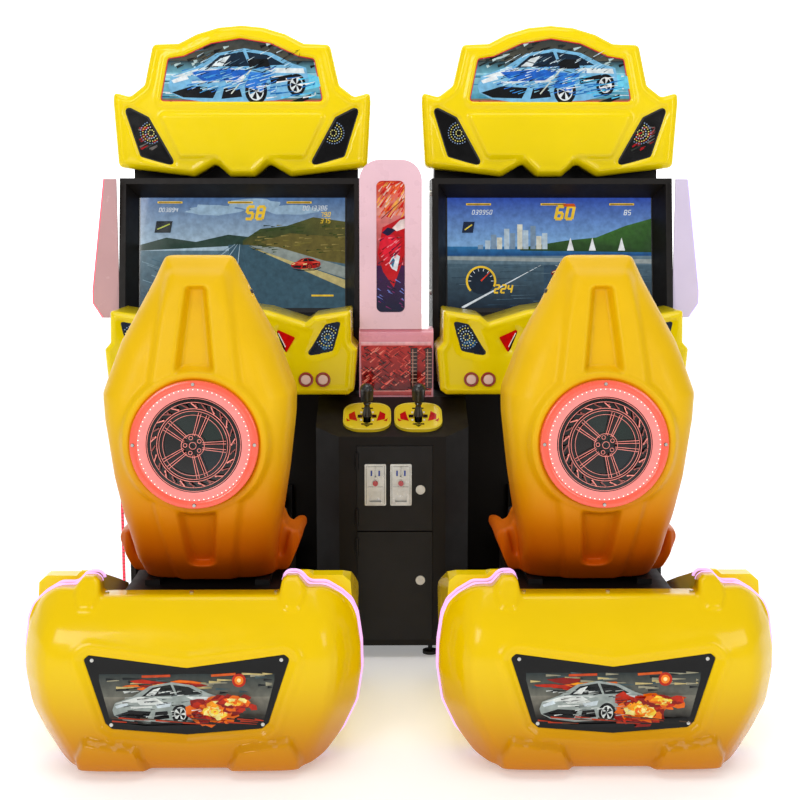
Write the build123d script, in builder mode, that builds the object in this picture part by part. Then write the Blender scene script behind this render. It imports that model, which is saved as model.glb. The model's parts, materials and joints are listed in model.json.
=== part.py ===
"""Twin sit-down racing cabinet: two driving seats facing two screens, joined by a coin pedestal.

Millimetres. +Z is up, +Y runs from the seats towards the screens, and X = 0 is midway between the
two seats. The origin is on the floor, under the middle of the whole machine.
"""

import os
from math import cos, radians, sin, tan

from build123d import *

os.makedirs("parts", exist_ok=True)

# ---------------------------------------------------------------- driving dimensions
SIDES = {"left": -1, "right": 1}
PITCH = 1048  # between the two seats' centre lines
DEPTH = 1740
BACK = -DEPTH / 2  # the foot bumps of the rear covers
FRONT = DEPTH / 2  # the flat backs of the cabinets
PANEL = 18  # board thickness of the carcasses
SKIN = 6  # wall of the moulded covers
GAP = 0.5  # between pieces that don't touch

# Cabinet carcass
CABINET_HALF = 404
CABINET_BOTTOM = 40
CABINET_TOP = 1505
LOWER_FACE_Y = 575  # the edge of the footwell
FOOTWELL_BACK_Y = 770
FOOTWELL_BOTTOM, FOOTWELL_TOP = 110, 770
NECK_HALF, NECK_FACE_Y, NECK_TOP = 390, 762, 1765  # the hollow neck the header hangs on
MONITOR_BAY_Z = (1040, 1485)
SERVICE_HALF, SERVICE_Z = 250, (180, 640)  # the opening in each cabinet's back
VENT_Z, VENT_PITCH, VENT_COUNT = 1380, 30, 5
VENT_SIZE = (360, 12)

# Screen: a 32 inch 16:9 panel
SCREEN_WIDTH, SCREEN_HEIGHT = 698, 393
SCREEN_Y, SCREEN_Z = 609, 1262
SCREEN_LEAN = 9.9
SURROUND_DEPTH = 85  # how far the surround stands in front of the screen
FIN_Y = 515  # the front faces of the side fins
MONITOR_SIZE = (740, 430, 40)

# Header
HEADER_FACE_Y, HEADER_BACK_Y = 647, 760
HEADER_BOARD = 12

# Dash
DASH_FACE_Y, DASH_BACK_Y = 208, 478
BUTTON_OFFSETS = {"start": 290, "view": 236}  # from the seat's centre line, towards the pedestal
BUTTON_Z = 866
BUTTON_R = 15.5
BUTTON_TRAVEL = 4

# Steering
WHEEL_Y, WHEEL_Z = 95, 965
WHEEL_LEAN = 28
WHEEL_R, RIM_R = 128, 14
SHAFT_R = 12
COLUMN_HOLE_Z = WHEEL_Z - (DASH_FACE_Y - WHEEL_Y) * tan(radians(WHEEL_LEAN))

# Pedals
PEDAL_PIVOT_Y, PEDAL_PIVOT_Z = 700, 372
PEDAL_OFFSETS = {"accelerator": 95, "brake": -60}

# Pedestal, lamp
PEDESTAL_X = -16
PEDESTAL_FRONT_Y, PEDESTAL_SIDE_Y, PEDESTAL_BACK_Y = 75, 135, 550
PEDESTAL_FRONT_HALF, PEDESTAL_HALF = 165, 238
PEDESTAL_EDGE_Z = 704
PEDESTAL_SLOPE = 20
LAMP_BASE_X, LAMP_BASE_Y, LAMP_BASE_Z = (-122, 118), 325, 795
DOOR_LEFT, DOOR_RIGHT = -125, 108
COIN_DOOR_Z = (409, 675)
CASH_DOOR_Z = (60, 405)
COIN_PLATE_X, COIN_PLATE_Z = (-68.5, 10.5), 555
COIN_PLATE_SIZE = (66, 130)
COIN_SLOT_Z, COIN_RETURN_Z, COIN_TRAY_Z = 596, 560, 518
COIN_RETURN_R = 8.3
LOCK_X, COIN_LOCK_Z, CASH_LOCK_Z = 71, 539, 252
HINGE_Y, HINGE_RADIUS, HINGE_INSET, HINGE_LENGTH = 68, 5, 20, 50
SHIFT_X = (-95, 66)
SHIFT_RUN = 110  # from the pedestal's front edge to the gates' middle, level
TOWER_X, TOWER_HALF = -20, 100
TOWER_Z = (1016, 1556)
TOWER_BACK_Y, TOWER_DEPTH = 385, 60
INLET_X, INLET_Z = -204, 160

# Platform and seat
PLATFORM_HALF, PLATFORM_BACK_Y = 255, -760
PLATFORM_Z = (25, 95)
SEAT_BOX_HALF, SEAT_BOX_Y, SEAT_BOX_TOP = 215, (-760, -25), 375
SEAT_RAIL_Y = (-430, -30)
SEAT_BOTTOM = 392
SEAT_OPEN_HALF = 226  # half of the gap in the trim bands, round the seat box
LEVER_Y, LEVER_Z = -60, 384
LAMP_Y, LAMP_Z, LAMP_R, LAMP_LEAN = -612, 797, 164, 3

# Rear cover and fenders
COVER_FRONT_Y, BAND_FRONT_Y, FENDER_FRONT_Y = -700, -660, -130
LEDGE_Z, LEDGE_SCREW_Y = 437, -722
ART_Y, ART_LEAN = -852.6, 4.8  # the picture panel's plane, where it would meet the floor
TUBE = 8


def upright(x=0, y=0, z=0, lean=0):
    """A plane that faces -Y, drawn in X and Z, and leans back by lean degrees."""
    return Plane(origin=(x, y, z), x_dir=(1, 0, 0), z_dir=(0, -cos(radians(lean)), sin(radians(lean))))


def side_on(x=0):
    """A plane that faces +X, drawn in Y and Z."""
    return Plane(origin=(x, 0, 0), x_dir=(0, 1, 0), z_dir=(1, 0, 0))


def level(z, x=0, y=0):
    return Plane(origin=(x, y, z), x_dir=(1, 0, 0), z_dir=(0, 0, 1))


def save(part, name):
    part.label = name
    export_step(part, f"parts/{name}.step")


def block(x, y, z, mode=Mode.ADD):
    """A box in the part being built, from its low and high X, Y and Z."""
    with BuildSketch(level(z[0])) as base:
        with Locations(((x[0] + x[1]) / 2, (y[0] + y[1]) / 2)):
            Rectangle(x[1] - x[0], y[1] - y[0])
    extrude(base.sketch, amount=z[1] - z[0], mode=mode)


def outline(points, radius=0, grow=0, mode=Mode.ADD):
    """A face, in the sketch being built, from one half of a symmetric outline."""
    whole = points + [(-x, z) for x, z in reversed(points) if x]
    polygon(whole, radius, grow, mode)


def polygon(points, radius=0, grow=0, mode=Mode.ADD):
    """A face, in the sketch being built, with its corners rounded and then grown or shrunk."""
    face = Wire.make_polygon([(x, z) for x, z in points])
    if radius:
        face = face.fillet_2d(radius, face.vertices())
    if grow:
        face = face.offset_2d(grow)
    add(make_face(face.edges(), mode=Mode.PRIVATE), mode=mode)


# ---------------------------------------------------------------- cabinet, monitor, header
def make_cabinet(name, side):
    cx = side * PITCH / 2
    face_y = SCREEN_Y - SURROUND_DEPTH
    slope = tan(radians(SCREEN_LEAN))

    def at_screen(z, forward=0):
        return (SCREEN_Y - forward + (z - SCREEN_Z) * slope, z)

    with BuildPart() as cabinet:
        with BuildSketch(side_on(cx)):
            polygon([
                (LOWER_FACE_Y, CABINET_BOTTOM), (FRONT, CABINET_BOTTOM), (FRONT, CABINET_TOP),
                at_screen(CABINET_TOP, SURROUND_DEPTH), at_screen(1010, SURROUND_DEPTH),
                (480, 830), (LOWER_FACE_Y, 790),
            ])
        extrude(amount=CABINET_HALF, both=True)
        block((cx - NECK_HALF, cx + NECK_HALF), (NECK_FACE_Y, FRONT), (CABINET_TOP, NECK_TOP))
        # The board that closes the back of the header
        with BuildSketch(upright(cx, NECK_FACE_Y + HEADER_BOARD)):
            outline(HEADER_HALF_OUTLINE, radius=12, grow=-8)
        extrude(amount=HEADER_BOARD)
        inner = (cx - CABINET_HALF + PANEL, cx + CABINET_HALF - PANEL)
        bay_back = FRONT - PANEL
        # Footwell, electronics bay, monitor bay and the hollow neck
        block(inner, (LOWER_FACE_Y, FOOTWELL_BACK_Y), (FOOTWELL_BOTTOM, FOOTWELL_TOP), Mode.SUBTRACT)
        block(inner, (FOOTWELL_BACK_Y + PANEL, bay_back), (FOOTWELL_BOTTOM, FOOTWELL_TOP), Mode.SUBTRACT)
        with BuildSketch(side_on(cx)):
            polygon([at_screen(MONITOR_BAY_Z[0]), (bay_back, MONITOR_BAY_Z[0]),
                     (bay_back, MONITOR_BAY_Z[1]), at_screen(MONITOR_BAY_Z[1])])
        extrude(amount=CABINET_HALF - PANEL, both=True, mode=Mode.SUBTRACT)
        neck = NECK_HALF - PANEL
        block((cx - neck, cx + neck), (NECK_FACE_Y + PANEL, bay_back),
              (MONITOR_BAY_Z[1] - 5, NECK_TOP - PANEL), Mode.SUBTRACT)
        # The sloping surround, open to the screen
        with BuildSketch(upright(cx, face_y, SCREEN_Z, SCREEN_LEAN)):
            Rectangle(SCREEN_WIDTH + 68, SCREEN_HEIGHT + 61)
        extrude(amount=-SURROUND_DEPTH - 1, taper=20, mode=Mode.SUBTRACT)
        # Service opening and vents in the back
        block((cx - SERVICE_HALF, cx + SERVICE_HALF), (bay_back - 1, FRONT), SERVICE_Z, Mode.SUBTRACT)
        with BuildSketch(upright(cx, FRONT, VENT_Z)):
            with GridLocations(0, VENT_PITCH, 1, VENT_COUNT):
                SlotOverall(*VENT_SIZE)
        extrude(amount=PANEL + 1, mode=Mode.SUBTRACT)
        if name == "left":
            block((INLET_X - 25, INLET_X + 25), (bay_back - 1, FRONT), (INLET_Z - 15, INLET_Z + 15), Mode.SUBTRACT)
    save(cabinet.part, f"{name}_cabinet")


def make_monitors():
    with BuildPart() as monitors:
        for side in SIDES.values():
            with BuildSketch(upright(side * PITCH / 2, SCREEN_Y + 1.5, SCREEN_Z, SCREEN_LEAN)):
                RectangleRounded(MONITOR_SIZE[0], MONITOR_SIZE[1], 6)
            extrude(amount=-MONITOR_SIZE[2])
    save(monitors.part, "monitors")


HEADER_HALF_OUTLINE = [
    (0, 2019), (75, 2012), (150, 1990), (211, 1959), (300, 1956), (331, 1820), (380, 1782),
    (436, 1797), (438, 1760), (425, 1545), (165, 1512), (92, 1556), (42, 1512), (0, 1512),
]
HEADER_WINDOW_OUTLINE = [
    (0, 1973), (100, 1957), (193, 1915), (247, 1906), (275, 1766), (0, 1766),
]
HEADER_SPEAKER_WINDOW = [(392, 1742), (322, 1707), (237, 1555), (342, 1586)]


def make_header(name, side):
    cx = side * PITCH / 2
    with BuildPart() as header:
        with BuildSketch(upright(cx, HEADER_BACK_Y)):
            outline(HEADER_HALF_OUTLINE, radius=12)
        extrude(amount=HEADER_BACK_Y - HEADER_FACE_Y)
        with BuildSketch(upright(cx, HEADER_BACK_Y)):
            outline(HEADER_HALF_OUTLINE, radius=12, grow=-SKIN)
        extrude(amount=HEADER_BACK_Y - HEADER_FACE_Y - SKIN, mode=Mode.SUBTRACT)
        with BuildSketch(upright(cx, HEADER_FACE_Y + SKIN)):
            outline(HEADER_WINDOW_OUTLINE, radius=10)
            for way in (-1, 1):
                polygon([(way * x, z) for x, z in HEADER_SPEAKER_WINDOW], radius=8)
        extrude(amount=SKIN, mode=Mode.SUBTRACT)
    save(header.part, f"{name}_header_shell")


# ---------------------------------------------------------------- dash and controls
DASH_HALF_OUTLINE = [
    (0, 1100), (115, 1084), (236, 1046), (262, 1066), (378, 1084), (380, 982), (398, 961),
    (387, 830), (368, 816), (0, 816),
]
DASH_SPEAKER_WINDOW = [(302, 1038), (343, 1047), (318, 960), (247, 945)]


def make_dash(name, side):
    cx = side * PITCH / 2
    depth = DASH_BACK_Y - DASH_FACE_Y
    with BuildPart() as dash:
        with BuildSketch(upright(cx, DASH_BACK_Y)):
            outline(DASH_HALF_OUTLINE, radius=8)
        extrude(amount=depth)
        with BuildSketch(upright(cx, DASH_BACK_Y)):
            outline(DASH_HALF_OUTLINE, radius=8, grow=-SKIN)
        extrude(amount=depth - SKIN, mode=Mode.SUBTRACT)
        with BuildSketch(upright(cx, DASH_FACE_Y + SKIN)):
            for way in (-1, 1):
                polygon([(way * x, z) for x, z in DASH_SPEAKER_WINDOW], radius=6)
            for x in BUTTON_OFFSETS.values():
                with Locations((-side * x, BUTTON_Z)):
                    Circle(BUTTON_R - 3)
            with Locations((0, COLUMN_HOLE_Z)):
                Ellipse(46, 54)
        extrude(amount=SKIN, mode=Mode.SUBTRACT)
    save(dash.part, f"{name}_dash_shell")


def make_buttons(name, side):
    for kind, x in BUTTON_OFFSETS.items():
        with BuildPart() as button:
            with BuildSketch(upright(side * (PITCH / 2 - x), DASH_FACE_Y - 1, BUTTON_Z)):
                Circle(BUTTON_R - 5)
            extrude(amount=6)
            with BuildSketch(upright(side * (PITCH / 2 - x), DASH_FACE_Y + 26, BUTTON_Z)):
                Circle(8)
            extrude(amount=27)
        save(button.part, f"{name}_{kind}_button")


def wheel_plane(cx, along=0):
    """The steering wheel's plane, or one along its shaft, towards the driver."""
    lean = radians(WHEEL_LEAN)
    return upright(cx, WHEEL_Y - along * cos(lean), WHEEL_Z + along * sin(lean), WHEEL_LEAN)


def make_steering_wheel(name, side):
    cx = side * PITCH / 2
    lean = radians(WHEEL_LEAN)
    plane = wheel_plane(cx)
    with BuildPart() as wheel:
        with BuildSketch(Plane(origin=plane.origin, x_dir=(1, 0, 0), z_dir=plane.y_dir)):
            with Locations((WHEEL_R, 0)):
                Circle(RIM_R)
        revolve(axis=Axis(plane.origin, plane.z_dir))
        with BuildSketch(wheel_plane(cx, -6)):
            Circle(34)
            with PolarLocations(WHEEL_R / 2, 3, start_angle=-90):
                Rectangle(WHEEL_R, 26)
        extrude(amount=9)
        with BuildSketch(wheel_plane(cx, -30)):
            Circle(30)
        extrude(amount=44)
        with BuildSketch(wheel_plane(cx, -150)):
            Circle(SHAFT_R)
        extrude(amount=121)
    save(wheel.part, f"{name}_steering_wheel")


def make_steering_columns():
    with BuildPart() as columns:
        for side in SIDES.values():
            cx = side * PITCH / 2
            with BuildSketch(wheel_plane(cx, -180)):
                Circle(38)
            extrude(amount=146)
            with BuildSketch(wheel_plane(cx, -151)):
                Circle(SHAFT_R + 0.1)
            extrude(amount=120, mode=Mode.SUBTRACT)
            with BuildSketch(wheel_plane(cx, -235)):
                Rectangle(80, 44)
            extrude(amount=56)
    save(columns.part, "steering_columns")


def make_pedals(name, side):
    for kind, x in PEDAL_OFFSETS.items():
        px = side * PITCH / 2 + x
        wide = 60 if kind == "accelerator" else 92
        with BuildPart() as pedal:
            with BuildSketch(side_on(px)):
                polygon([
                    (PEDAL_PIVOT_Y - 14, PEDAL_PIVOT_Z - 16), (PEDAL_PIVOT_Y + 14, PEDAL_PIVOT_Z - 16),
                    (PEDAL_PIVOT_Y + 14, PEDAL_PIVOT_Z + 16), (PEDAL_PIVOT_Y - 14, PEDAL_PIVOT_Z + 16),
                ], radius=6)
                polygon([
                    (PEDAL_PIVOT_Y - 12, PEDAL_PIVOT_Z), (PEDAL_PIVOT_Y + 10, PEDAL_PIVOT_Z),
                    (PEDAL_PIVOT_Y - 70, 205), (PEDAL_PIVOT_Y - 84, 215),
                ])
                with Locations((PEDAL_PIVOT_Y, PEDAL_PIVOT_Z)):
                    Circle(8.1, mode=Mode.SUBTRACT)
            extrude(amount=8, both=True)
            with BuildSketch(side_on(px)):
                polygon([
                    (PEDAL_PIVOT_Y - 100, 278), (PEDAL_PIVOT_Y - 88, 282),
                    (PEDAL_PIVOT_Y - 52, 158), (PEDAL_PIVOT_Y - 64, 154),
                ], radius=4)
            extrude(amount=wide / 2, both=True)
        save(pedal.part, f"{name}_{kind}_pedal")


def make_pedal_boxes():
    """Brackets with the pivot pins, one box behind each pair of pedals."""
    with BuildPart() as boxes:
        for side in SIDES.values():
            cx = side * PITCH / 2
            block((cx - 120, cx + 150), (745, FOOTWELL_BACK_Y), (FOOTWELL_BOTTOM, 420))
            for x in PEDAL_OFFSETS.values():
                for edge in (-1, 1):
                    ear = cx + x + edge * 14
                    block((ear - 4, ear + 4), (PEDAL_PIVOT_Y - 18, 746), (345, 400))
                with BuildSketch(side_on(cx + x)):
                    with Locations((PEDAL_PIVOT_Y, PEDAL_PIVOT_Z)):
                        Circle(8)
                extrude(amount=16, both=True)
    save(boxes.part, "pedal_boxes")


# ---------------------------------------------------------------- platform and seat
def make_platform(name, side):
    cx = side * PITCH / 2
    with BuildPart() as platform:
        block((cx - PLATFORM_HALF, cx + PLATFORM_HALF), (PLATFORM_BACK_Y, LOWER_FACE_Y), PLATFORM_Z)
        block((cx - SEAT_BOX_HALF, cx + SEAT_BOX_HALF), SEAT_BOX_Y, (PLATFORM_Z[1], SEAT_BOX_TOP))
        inner = SEAT_BOX_HALF - PANEL
        block((cx - inner, cx + inner), (SEAT_BOX_Y[0] + PANEL, SEAT_BOX_Y[1] - PANEL),
              (PLATFORM_Z[0], SEAT_BOX_TOP - PANEL), Mode.SUBTRACT)
    save(platform.part, f"{name}_platform")


def make_seat_rails():
    with BuildPart() as rails:
        for side in SIDES.values():
            for x in (-150, 150):
                rx = side * PITCH / 2 + x
                block((rx - 20, rx + 20), SEAT_RAIL_Y, (SEAT_BOX_TOP, SEAT_BOTTOM - 2))
    save(rails.part, "seat_rails")


SEAT_BACK_OUTLINE = [
    (0, 1274), (88, 1274), (152, 1150), (204, 1050), (250, 920), (246, 850), (225, 690), (200, 540), (180, 392),
    (0, 392),
]
SEAT_BACK_PROFILE = [
    (-507, 1274), (-548, 1150), (-588, 1010), (-606, 900), (-606, 700), (-580, 590), (-512, 460), (-423, 392),
    (-290, 392), (-300, 560), (-345, 760), (-410, 960), (-440, 1150), (-450, 1274),
]
SEAT_HOLLOW_HALF = 150
SEAT_HOLLOW_PROFILE = [
    (-462, 1216), (-505, 1120), (-540, 1000), (-552, 800), (-530, 620), (-470, 500), (-400, 440),
    (-200, 440), (-200, 1216),
]
SEAT_PAN_OUTLINE = [(0, 392), (214, 392), (256, 490), (247, 515), (222, 515), (205, 440), (0, 440)]
SEAT_PAN_PLAN = [(0, -430), (232, -430), (256, -330), (256, -100), (236, 95), (0, 95)]
SEAT_PAN_PROFILE = [(-423, 392), (70, 400), (95, 430), (80, 470), (-20, 517), (-423, 517)]


def make_seat_back(cx):
    """The back of the bucket: its front outline through its side profile, hollow towards the driver."""
    with BuildPart() as back:
        with BuildSketch(upright(cx, 0)):
            outline(SEAT_BACK_OUTLINE)
        extrude(amount=650)
        with BuildSketch(side_on(cx)):
            polygon(SEAT_BACK_PROFILE)
        extrude(amount=300, both=True, mode=Mode.INTERSECT)
        with BuildSketch(side_on(cx)):
            polygon(SEAT_HOLLOW_PROFILE)
        extrude(amount=SEAT_HOLLOW_HALF, both=True, mode=Mode.SUBTRACT)
    return back.part


def make_seat_pan(cx):
    with BuildPart() as pan:
        with BuildSketch(upright(cx, SEAT_PAN_PROFILE[0][0])):
            outline(SEAT_PAN_OUTLINE)
        extrude(amount=-520)
        with BuildSketch(side_on(cx)):
            polygon(SEAT_PAN_PROFILE)
        extrude(amount=300, both=True, mode=Mode.INTERSECT)
        with BuildSketch(level(SEAT_BOTTOM, cx)):
            outline(SEAT_PAN_PLAN)
        extrude(amount=150, mode=Mode.INTERSECT)
    return pan.part


def make_seat_shell(name, side):
    cx = side * PITCH / 2
    back, pan = make_seat_back(cx), make_seat_pan(cx)
    with BuildPart() as seat:
        add(back)
        add(pan)
        with BuildSketch(upright(cx, LAMP_Y - 14, LAMP_Z, LAMP_LEAN)):
            Circle(LAMP_R + 14)
        extrude(amount=-70)
    save(seat.part, f"{name}_seat_shell")


def make_cushions(name, side):
    cx = side * PITCH / 2
    with BuildPart() as seat_cushion:
        block((cx - 196, cx + 196), (-286, 62), (SEAT_BOTTOM + 50, SEAT_BOTTOM + 100))
        fillet(seat_cushion.edges().filter_by(Axis.Z), 30)
    save(seat_cushion.part, f"{name}_seat_cushion")
    with BuildPart() as back_cushion:
        with BuildSketch(side_on(cx)):
            polygon([(-392, 446), (-292, 446), (-345, 620), (-395, 800), (-425, 960), (-425, 1190),
                     (-464, 1190), (-512, 1050), (-530, 960), (-540, 800), (-515, 620), (-455, 500)])
        extrude(amount=SEAT_HOLLOW_HALF - 6, both=True)
    save(back_cushion.part, f"{name}_back_cushion")


def make_seat_lamp(name, side):
    cx = side * PITCH / 2
    with BuildPart() as lamp:
        with BuildSketch(upright(cx, LAMP_Y - 14.3, LAMP_Z, LAMP_LEAN)):
            Circle(LAMP_R)
        extrude(amount=14)
        with BuildSketch(upright(cx, LAMP_Y - 28, LAMP_Z, LAMP_LEAN)):
            Circle(LAMP_R - 42)
        extrude(amount=-6, mode=Mode.SUBTRACT)
    save(lamp.part, f"{name}_seat_lamp")


def make_seat_lever(name, side):
    """The adjusting lever under the front of the seat, on the outer side."""
    x = side * (PITCH / 2 + 238)
    with BuildPart() as lever:
        with BuildSketch(side_on(x)):
            with Locations((LEVER_Y, LEVER_Z)):
                Circle(11)
            polygon([(-62, 378), (88, 372), (112, 378), (112, 390), (88, 390), (-62, 390)])
        extrude(amount=5, both=True)
        with BuildSketch(side_on(x)):
            with Locations((LEVER_Y, LEVER_Z)):
                Circle(6)
        extrude(amount=-side * 22)
    save(lever.part, f"{name}_seat_lever")


# ---------------------------------------------------------------- rear cover, fenders, lights
COVER_OUTLINE = [
    (0, LEDGE_Z), (222, LEDGE_Z), (228, 470), (240, 480), (268, 480), (292, 452), (336, 452), (374, 429),
    (400, 405), (414, 370), (424, 300), (426, 235), (413, 150), (379, 78), (334, 24), (300, 15), (0, 15),
]
COVER_PROFILE = [
    (COVER_FRONT_Y, 500), (-706, 500), (-752, 437), (-790, 395), (-815, 350), (-828, 300),
    (-842, 130), (-842, 80), (-835, 30), (-815, 15), (COVER_FRONT_Y, 15),
]
COVER_PLAN = [(0, -870), (300, -866), (372, -800), (426, -712), (426, COVER_FRONT_Y), (0, COVER_FRONT_Y)]
ART_OUTLINE = [(0, 276), (240, 308), (252, 298), (200, 140), (184, 126), (0, 112)]
ART_SCREWS = [(232, 296), (-232, 296), (186, 136), (-186, 136)]
FENDER_OUTLINE = [(262, 476), (290, 476), (302, 464), (378, 464), (398, 447), (402, 395), (408, 300), (402, 120),
                  (340, 40), (262, 40)]
FENDER_PROFILE = [(BAND_FRONT_Y, 40), (FENDER_FRONT_Y, 40), (FENDER_FRONT_Y, 230), (-190, 318), (-330, 368),
                  (BAND_FRONT_Y, 480)]


def cover_form(cx, skin):
    """The rear cover's outer form, or the same form a wall's thickness inside it."""
    with BuildPart() as form:
        with BuildSketch(upright(cx, COVER_FRONT_Y)):
            outline(COVER_OUTLINE, grow=-skin)
        extrude(amount=320)
        with BuildSketch(side_on(cx)):
            polygon(COVER_PROFILE, grow=-skin)
        extrude(amount=500, both=True, mode=Mode.INTERSECT)
        with BuildSketch(level(0, cx)):
            outline(COVER_PLAN, grow=-skin)
        extrude(amount=520, mode=Mode.INTERSECT)
    return form.part


def make_rear_cover(name, side):
    cx = side * PITCH / 2
    outer, inner = cover_form(cx, 0), cover_form(cx, SKIN)
    with BuildPart() as cover:
        add(outer)
        for way in (-1, 1):
            with BuildSketch(upright(cx, -830)):
                polygon([(way * x, z) for x, z in [(99, 26), (120, 84), (256, 104), (275, 60), (275, 26)]], radius=5)
            extrude(amount=-BACK - 830, taper=12)
        add(inner, mode=Mode.SUBTRACT)
        with BuildSketch(upright(cx, COVER_FRONT_Y + 1)):
            outline(COVER_OUTLINE, grow=-SKIN)
        extrude(amount=9, mode=Mode.SUBTRACT)
        block((cx - 330, cx + 330), (-790, COVER_FRONT_Y + 1), (10, 15 + SKIN + 1), Mode.SUBTRACT)
        with BuildSketch(upright(cx, ART_Y + 3, 0, ART_LEAN)):
            outline(ART_OUTLINE, grow=1)
        extrude(amount=40, mode=Mode.SUBTRACT)
    save(cover.part, f"{name}_rear_cover")


def make_picture_panels():
    """Clear printed panels: one behind each header's window, one in each rear cover's pocket."""
    with BuildPart() as panels:
        for side in SIDES.values():
            cx = side * PITCH / 2
            with BuildSketch(upright(cx, HEADER_FACE_Y + SKIN + GAP + 4)):
                outline(HEADER_WINDOW_OUTLINE, radius=10, grow=12)
            extrude(amount=4)
            with BuildSketch(upright(cx, ART_Y + 3, 0, ART_LEAN)):
                outline(ART_OUTLINE)
            extrude(amount=3)
    save(panels.part, "picture_panels")


def open_bands(cx):
    """Cuts the bands being built away round the platform and the seat box."""
    for half, heights in ((PLATFORM_HALF + 1, (0, 300)), (SEAT_OPEN_HALF, (300, 520))):
        block((cx - half, cx + half), (COVER_FRONT_Y - 10, BAND_FRONT_Y + 10), heights, Mode.SUBTRACT)


def make_trim_bands():
    """The dark strips between the rear covers and the fenders, open round the seat."""
    with BuildPart() as bands:
        for side in SIDES.values():
            cx = side * PITCH / 2
            with BuildSketch(upright(cx, BAND_FRONT_Y - TUBE)):
                outline(COVER_OUTLINE, grow=-14)
                outline(COVER_OUTLINE, grow=-30, mode=Mode.SUBTRACT)
            extrude(amount=BAND_FRONT_Y - COVER_FRONT_Y - 2 * TUBE)
            open_bands(cx)
    save(bands.part, "trim_bands")


def make_light_tubes():
    """Light tubes along both edges of each trim band."""
    with BuildPart() as tubes:
        for side in SIDES.values():
            cx = side * PITCH / 2
            for y in (COVER_FRONT_Y + TUBE, BAND_FRONT_Y):
                with BuildSketch(upright(cx, y)):
                    outline(COVER_OUTLINE, grow=-2)
                    outline(COVER_OUTLINE, grow=-30, mode=Mode.SUBTRACT)
                extrude(amount=TUBE)
            open_bands(cx)
    save(tubes.part, "light_tubes")


def fender_form(cx, way, skin):
    """A fender's outer form, or the same form a wall's thickness inside it."""
    with BuildPart() as form:
        with BuildSketch(upright(cx, FENDER_FRONT_Y)):
            polygon([(way * x, z) for x, z in FENDER_OUTLINE], radius=5, grow=-skin)
        extrude(amount=FENDER_FRONT_Y - BAND_FRONT_Y)
        with BuildSketch(side_on(cx)):
            polygon(FENDER_PROFILE, grow=-skin)
        extrude(amount=500, both=True, mode=Mode.INTERSECT)
    return form.part


def make_fender(name, side):
    """A hollow pod on each side of the seat box, in front of the lit band."""
    cx = side * PITCH / 2
    forms = [fender_form(cx, way, skin) for skin in (0, SKIN) for way in (-1, 1)]
    with BuildPart() as fender:
        for form in forms[:2]:
            add(form)
        for form in forms[2:]:
            add(form, mode=Mode.SUBTRACT)
    save(fender.part, f"{name}_fender")


# ---------------------------------------------------------------- pedestal and coin doors
def pedestal_top(run):
    return PEDESTAL_EDGE_Z + run * tan(radians(PEDESTAL_SLOPE))


def make_pedestal():
    x, y = PEDESTAL_X, PEDESTAL_FRONT_Y
    with BuildPart() as pedestal:
        with BuildSketch(level(CABINET_BOTTOM, x)):
            outline([(0, y), (PEDESTAL_FRONT_HALF, y), (PEDESTAL_HALF, PEDESTAL_SIDE_Y),
                     (PEDESTAL_HALF, PEDESTAL_BACK_Y), (0, PEDESTAL_BACK_Y)])
        extrude(amount=LAMP_BASE_Z - CABINET_BOTTOM)
        with BuildSketch(side_on(x)):
            polygon([(y, PEDESTAL_EDGE_Z), (LAMP_BASE_Y, pedestal_top(LAMP_BASE_Y - y)), (LAMP_BASE_Y, 900), (y, 900)])
        extrude(amount=300, both=True, mode=Mode.SUBTRACT)
        with BuildSketch(upright(x, y)):
            with Locations(((DOOR_LEFT + DOOR_RIGHT) / 2 - x, (CASH_DOOR_Z[0] + COIN_DOOR_Z[1]) / 2)):
                Rectangle(DOOR_RIGHT - DOOR_LEFT + 2, COIN_DOOR_Z[1] - CASH_DOOR_Z[0] + 2)
        extrude(amount=-PANEL, mode=Mode.SUBTRACT)
        block((x - 142, x + 142), (y + PANEL, 540), (CABINET_BOTTOM + PANEL, 640), Mode.SUBTRACT)
        for sx in SHIFT_X:
            with BuildSketch(shift_plane(sx, 1)):
                SlotOverall(96, 30, rotation=90)
            extrude(amount=-90, mode=Mode.SUBTRACT)
    save(pedestal.part, "pedestal")


def make_doors():
    width = DOOR_RIGHT - DOOR_LEFT
    middle = (DOOR_LEFT + DOOR_RIGHT) / 2
    for name, (low, high), lock_z in (("coin", COIN_DOOR_Z, COIN_LOCK_Z), ("cash", CASH_DOOR_Z, CASH_LOCK_Z)):
        with BuildPart() as door:
            with BuildSketch(upright(middle, PEDESTAL_FRONT_Y + 4, (low + high) / 2)):
                RectangleRounded(width, high - low, 3)
            extrude(amount=7)
            with BuildSketch(upright(LOCK_X, PEDESTAL_FRONT_Y - 4, lock_z)):
                Circle(9.5)
            extrude(amount=-20, mode=Mode.SUBTRACT)
            for z in (low + HINGE_INSET, high - HINGE_INSET - HINGE_LENGTH):
                with BuildSketch(level(z, DOOR_LEFT, HINGE_Y)):
                    Circle(HINGE_RADIUS)
                extrude(amount=HINGE_LENGTH)
            if name == "coin":
                for x in COIN_PLATE_X:
                    with BuildSketch(upright(x, PEDESTAL_FRONT_Y - 4, COIN_PLATE_Z)):
                        Rectangle(50, 112)
                    extrude(amount=-20, mode=Mode.SUBTRACT)
        save(door.part, f"{name}_door")
        with BuildPart() as lock:
            with BuildSketch(upright(LOCK_X, PEDESTAL_FRONT_Y - 3.5, lock_z)):
                Circle(14.5)
            extrude(amount=4)
            with BuildSketch(upright(LOCK_X, PEDESTAL_FRONT_Y + 24, lock_z)):
                Circle(9)
            extrude(amount=27.6)
            with BuildSketch(upright(LOCK_X, PEDESTAL_FRONT_Y + 27, lock_z)):
                SlotOverall(46, 16)
            extrude(amount=3)
        save(lock.part, f"{name}_door_lock")


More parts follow.
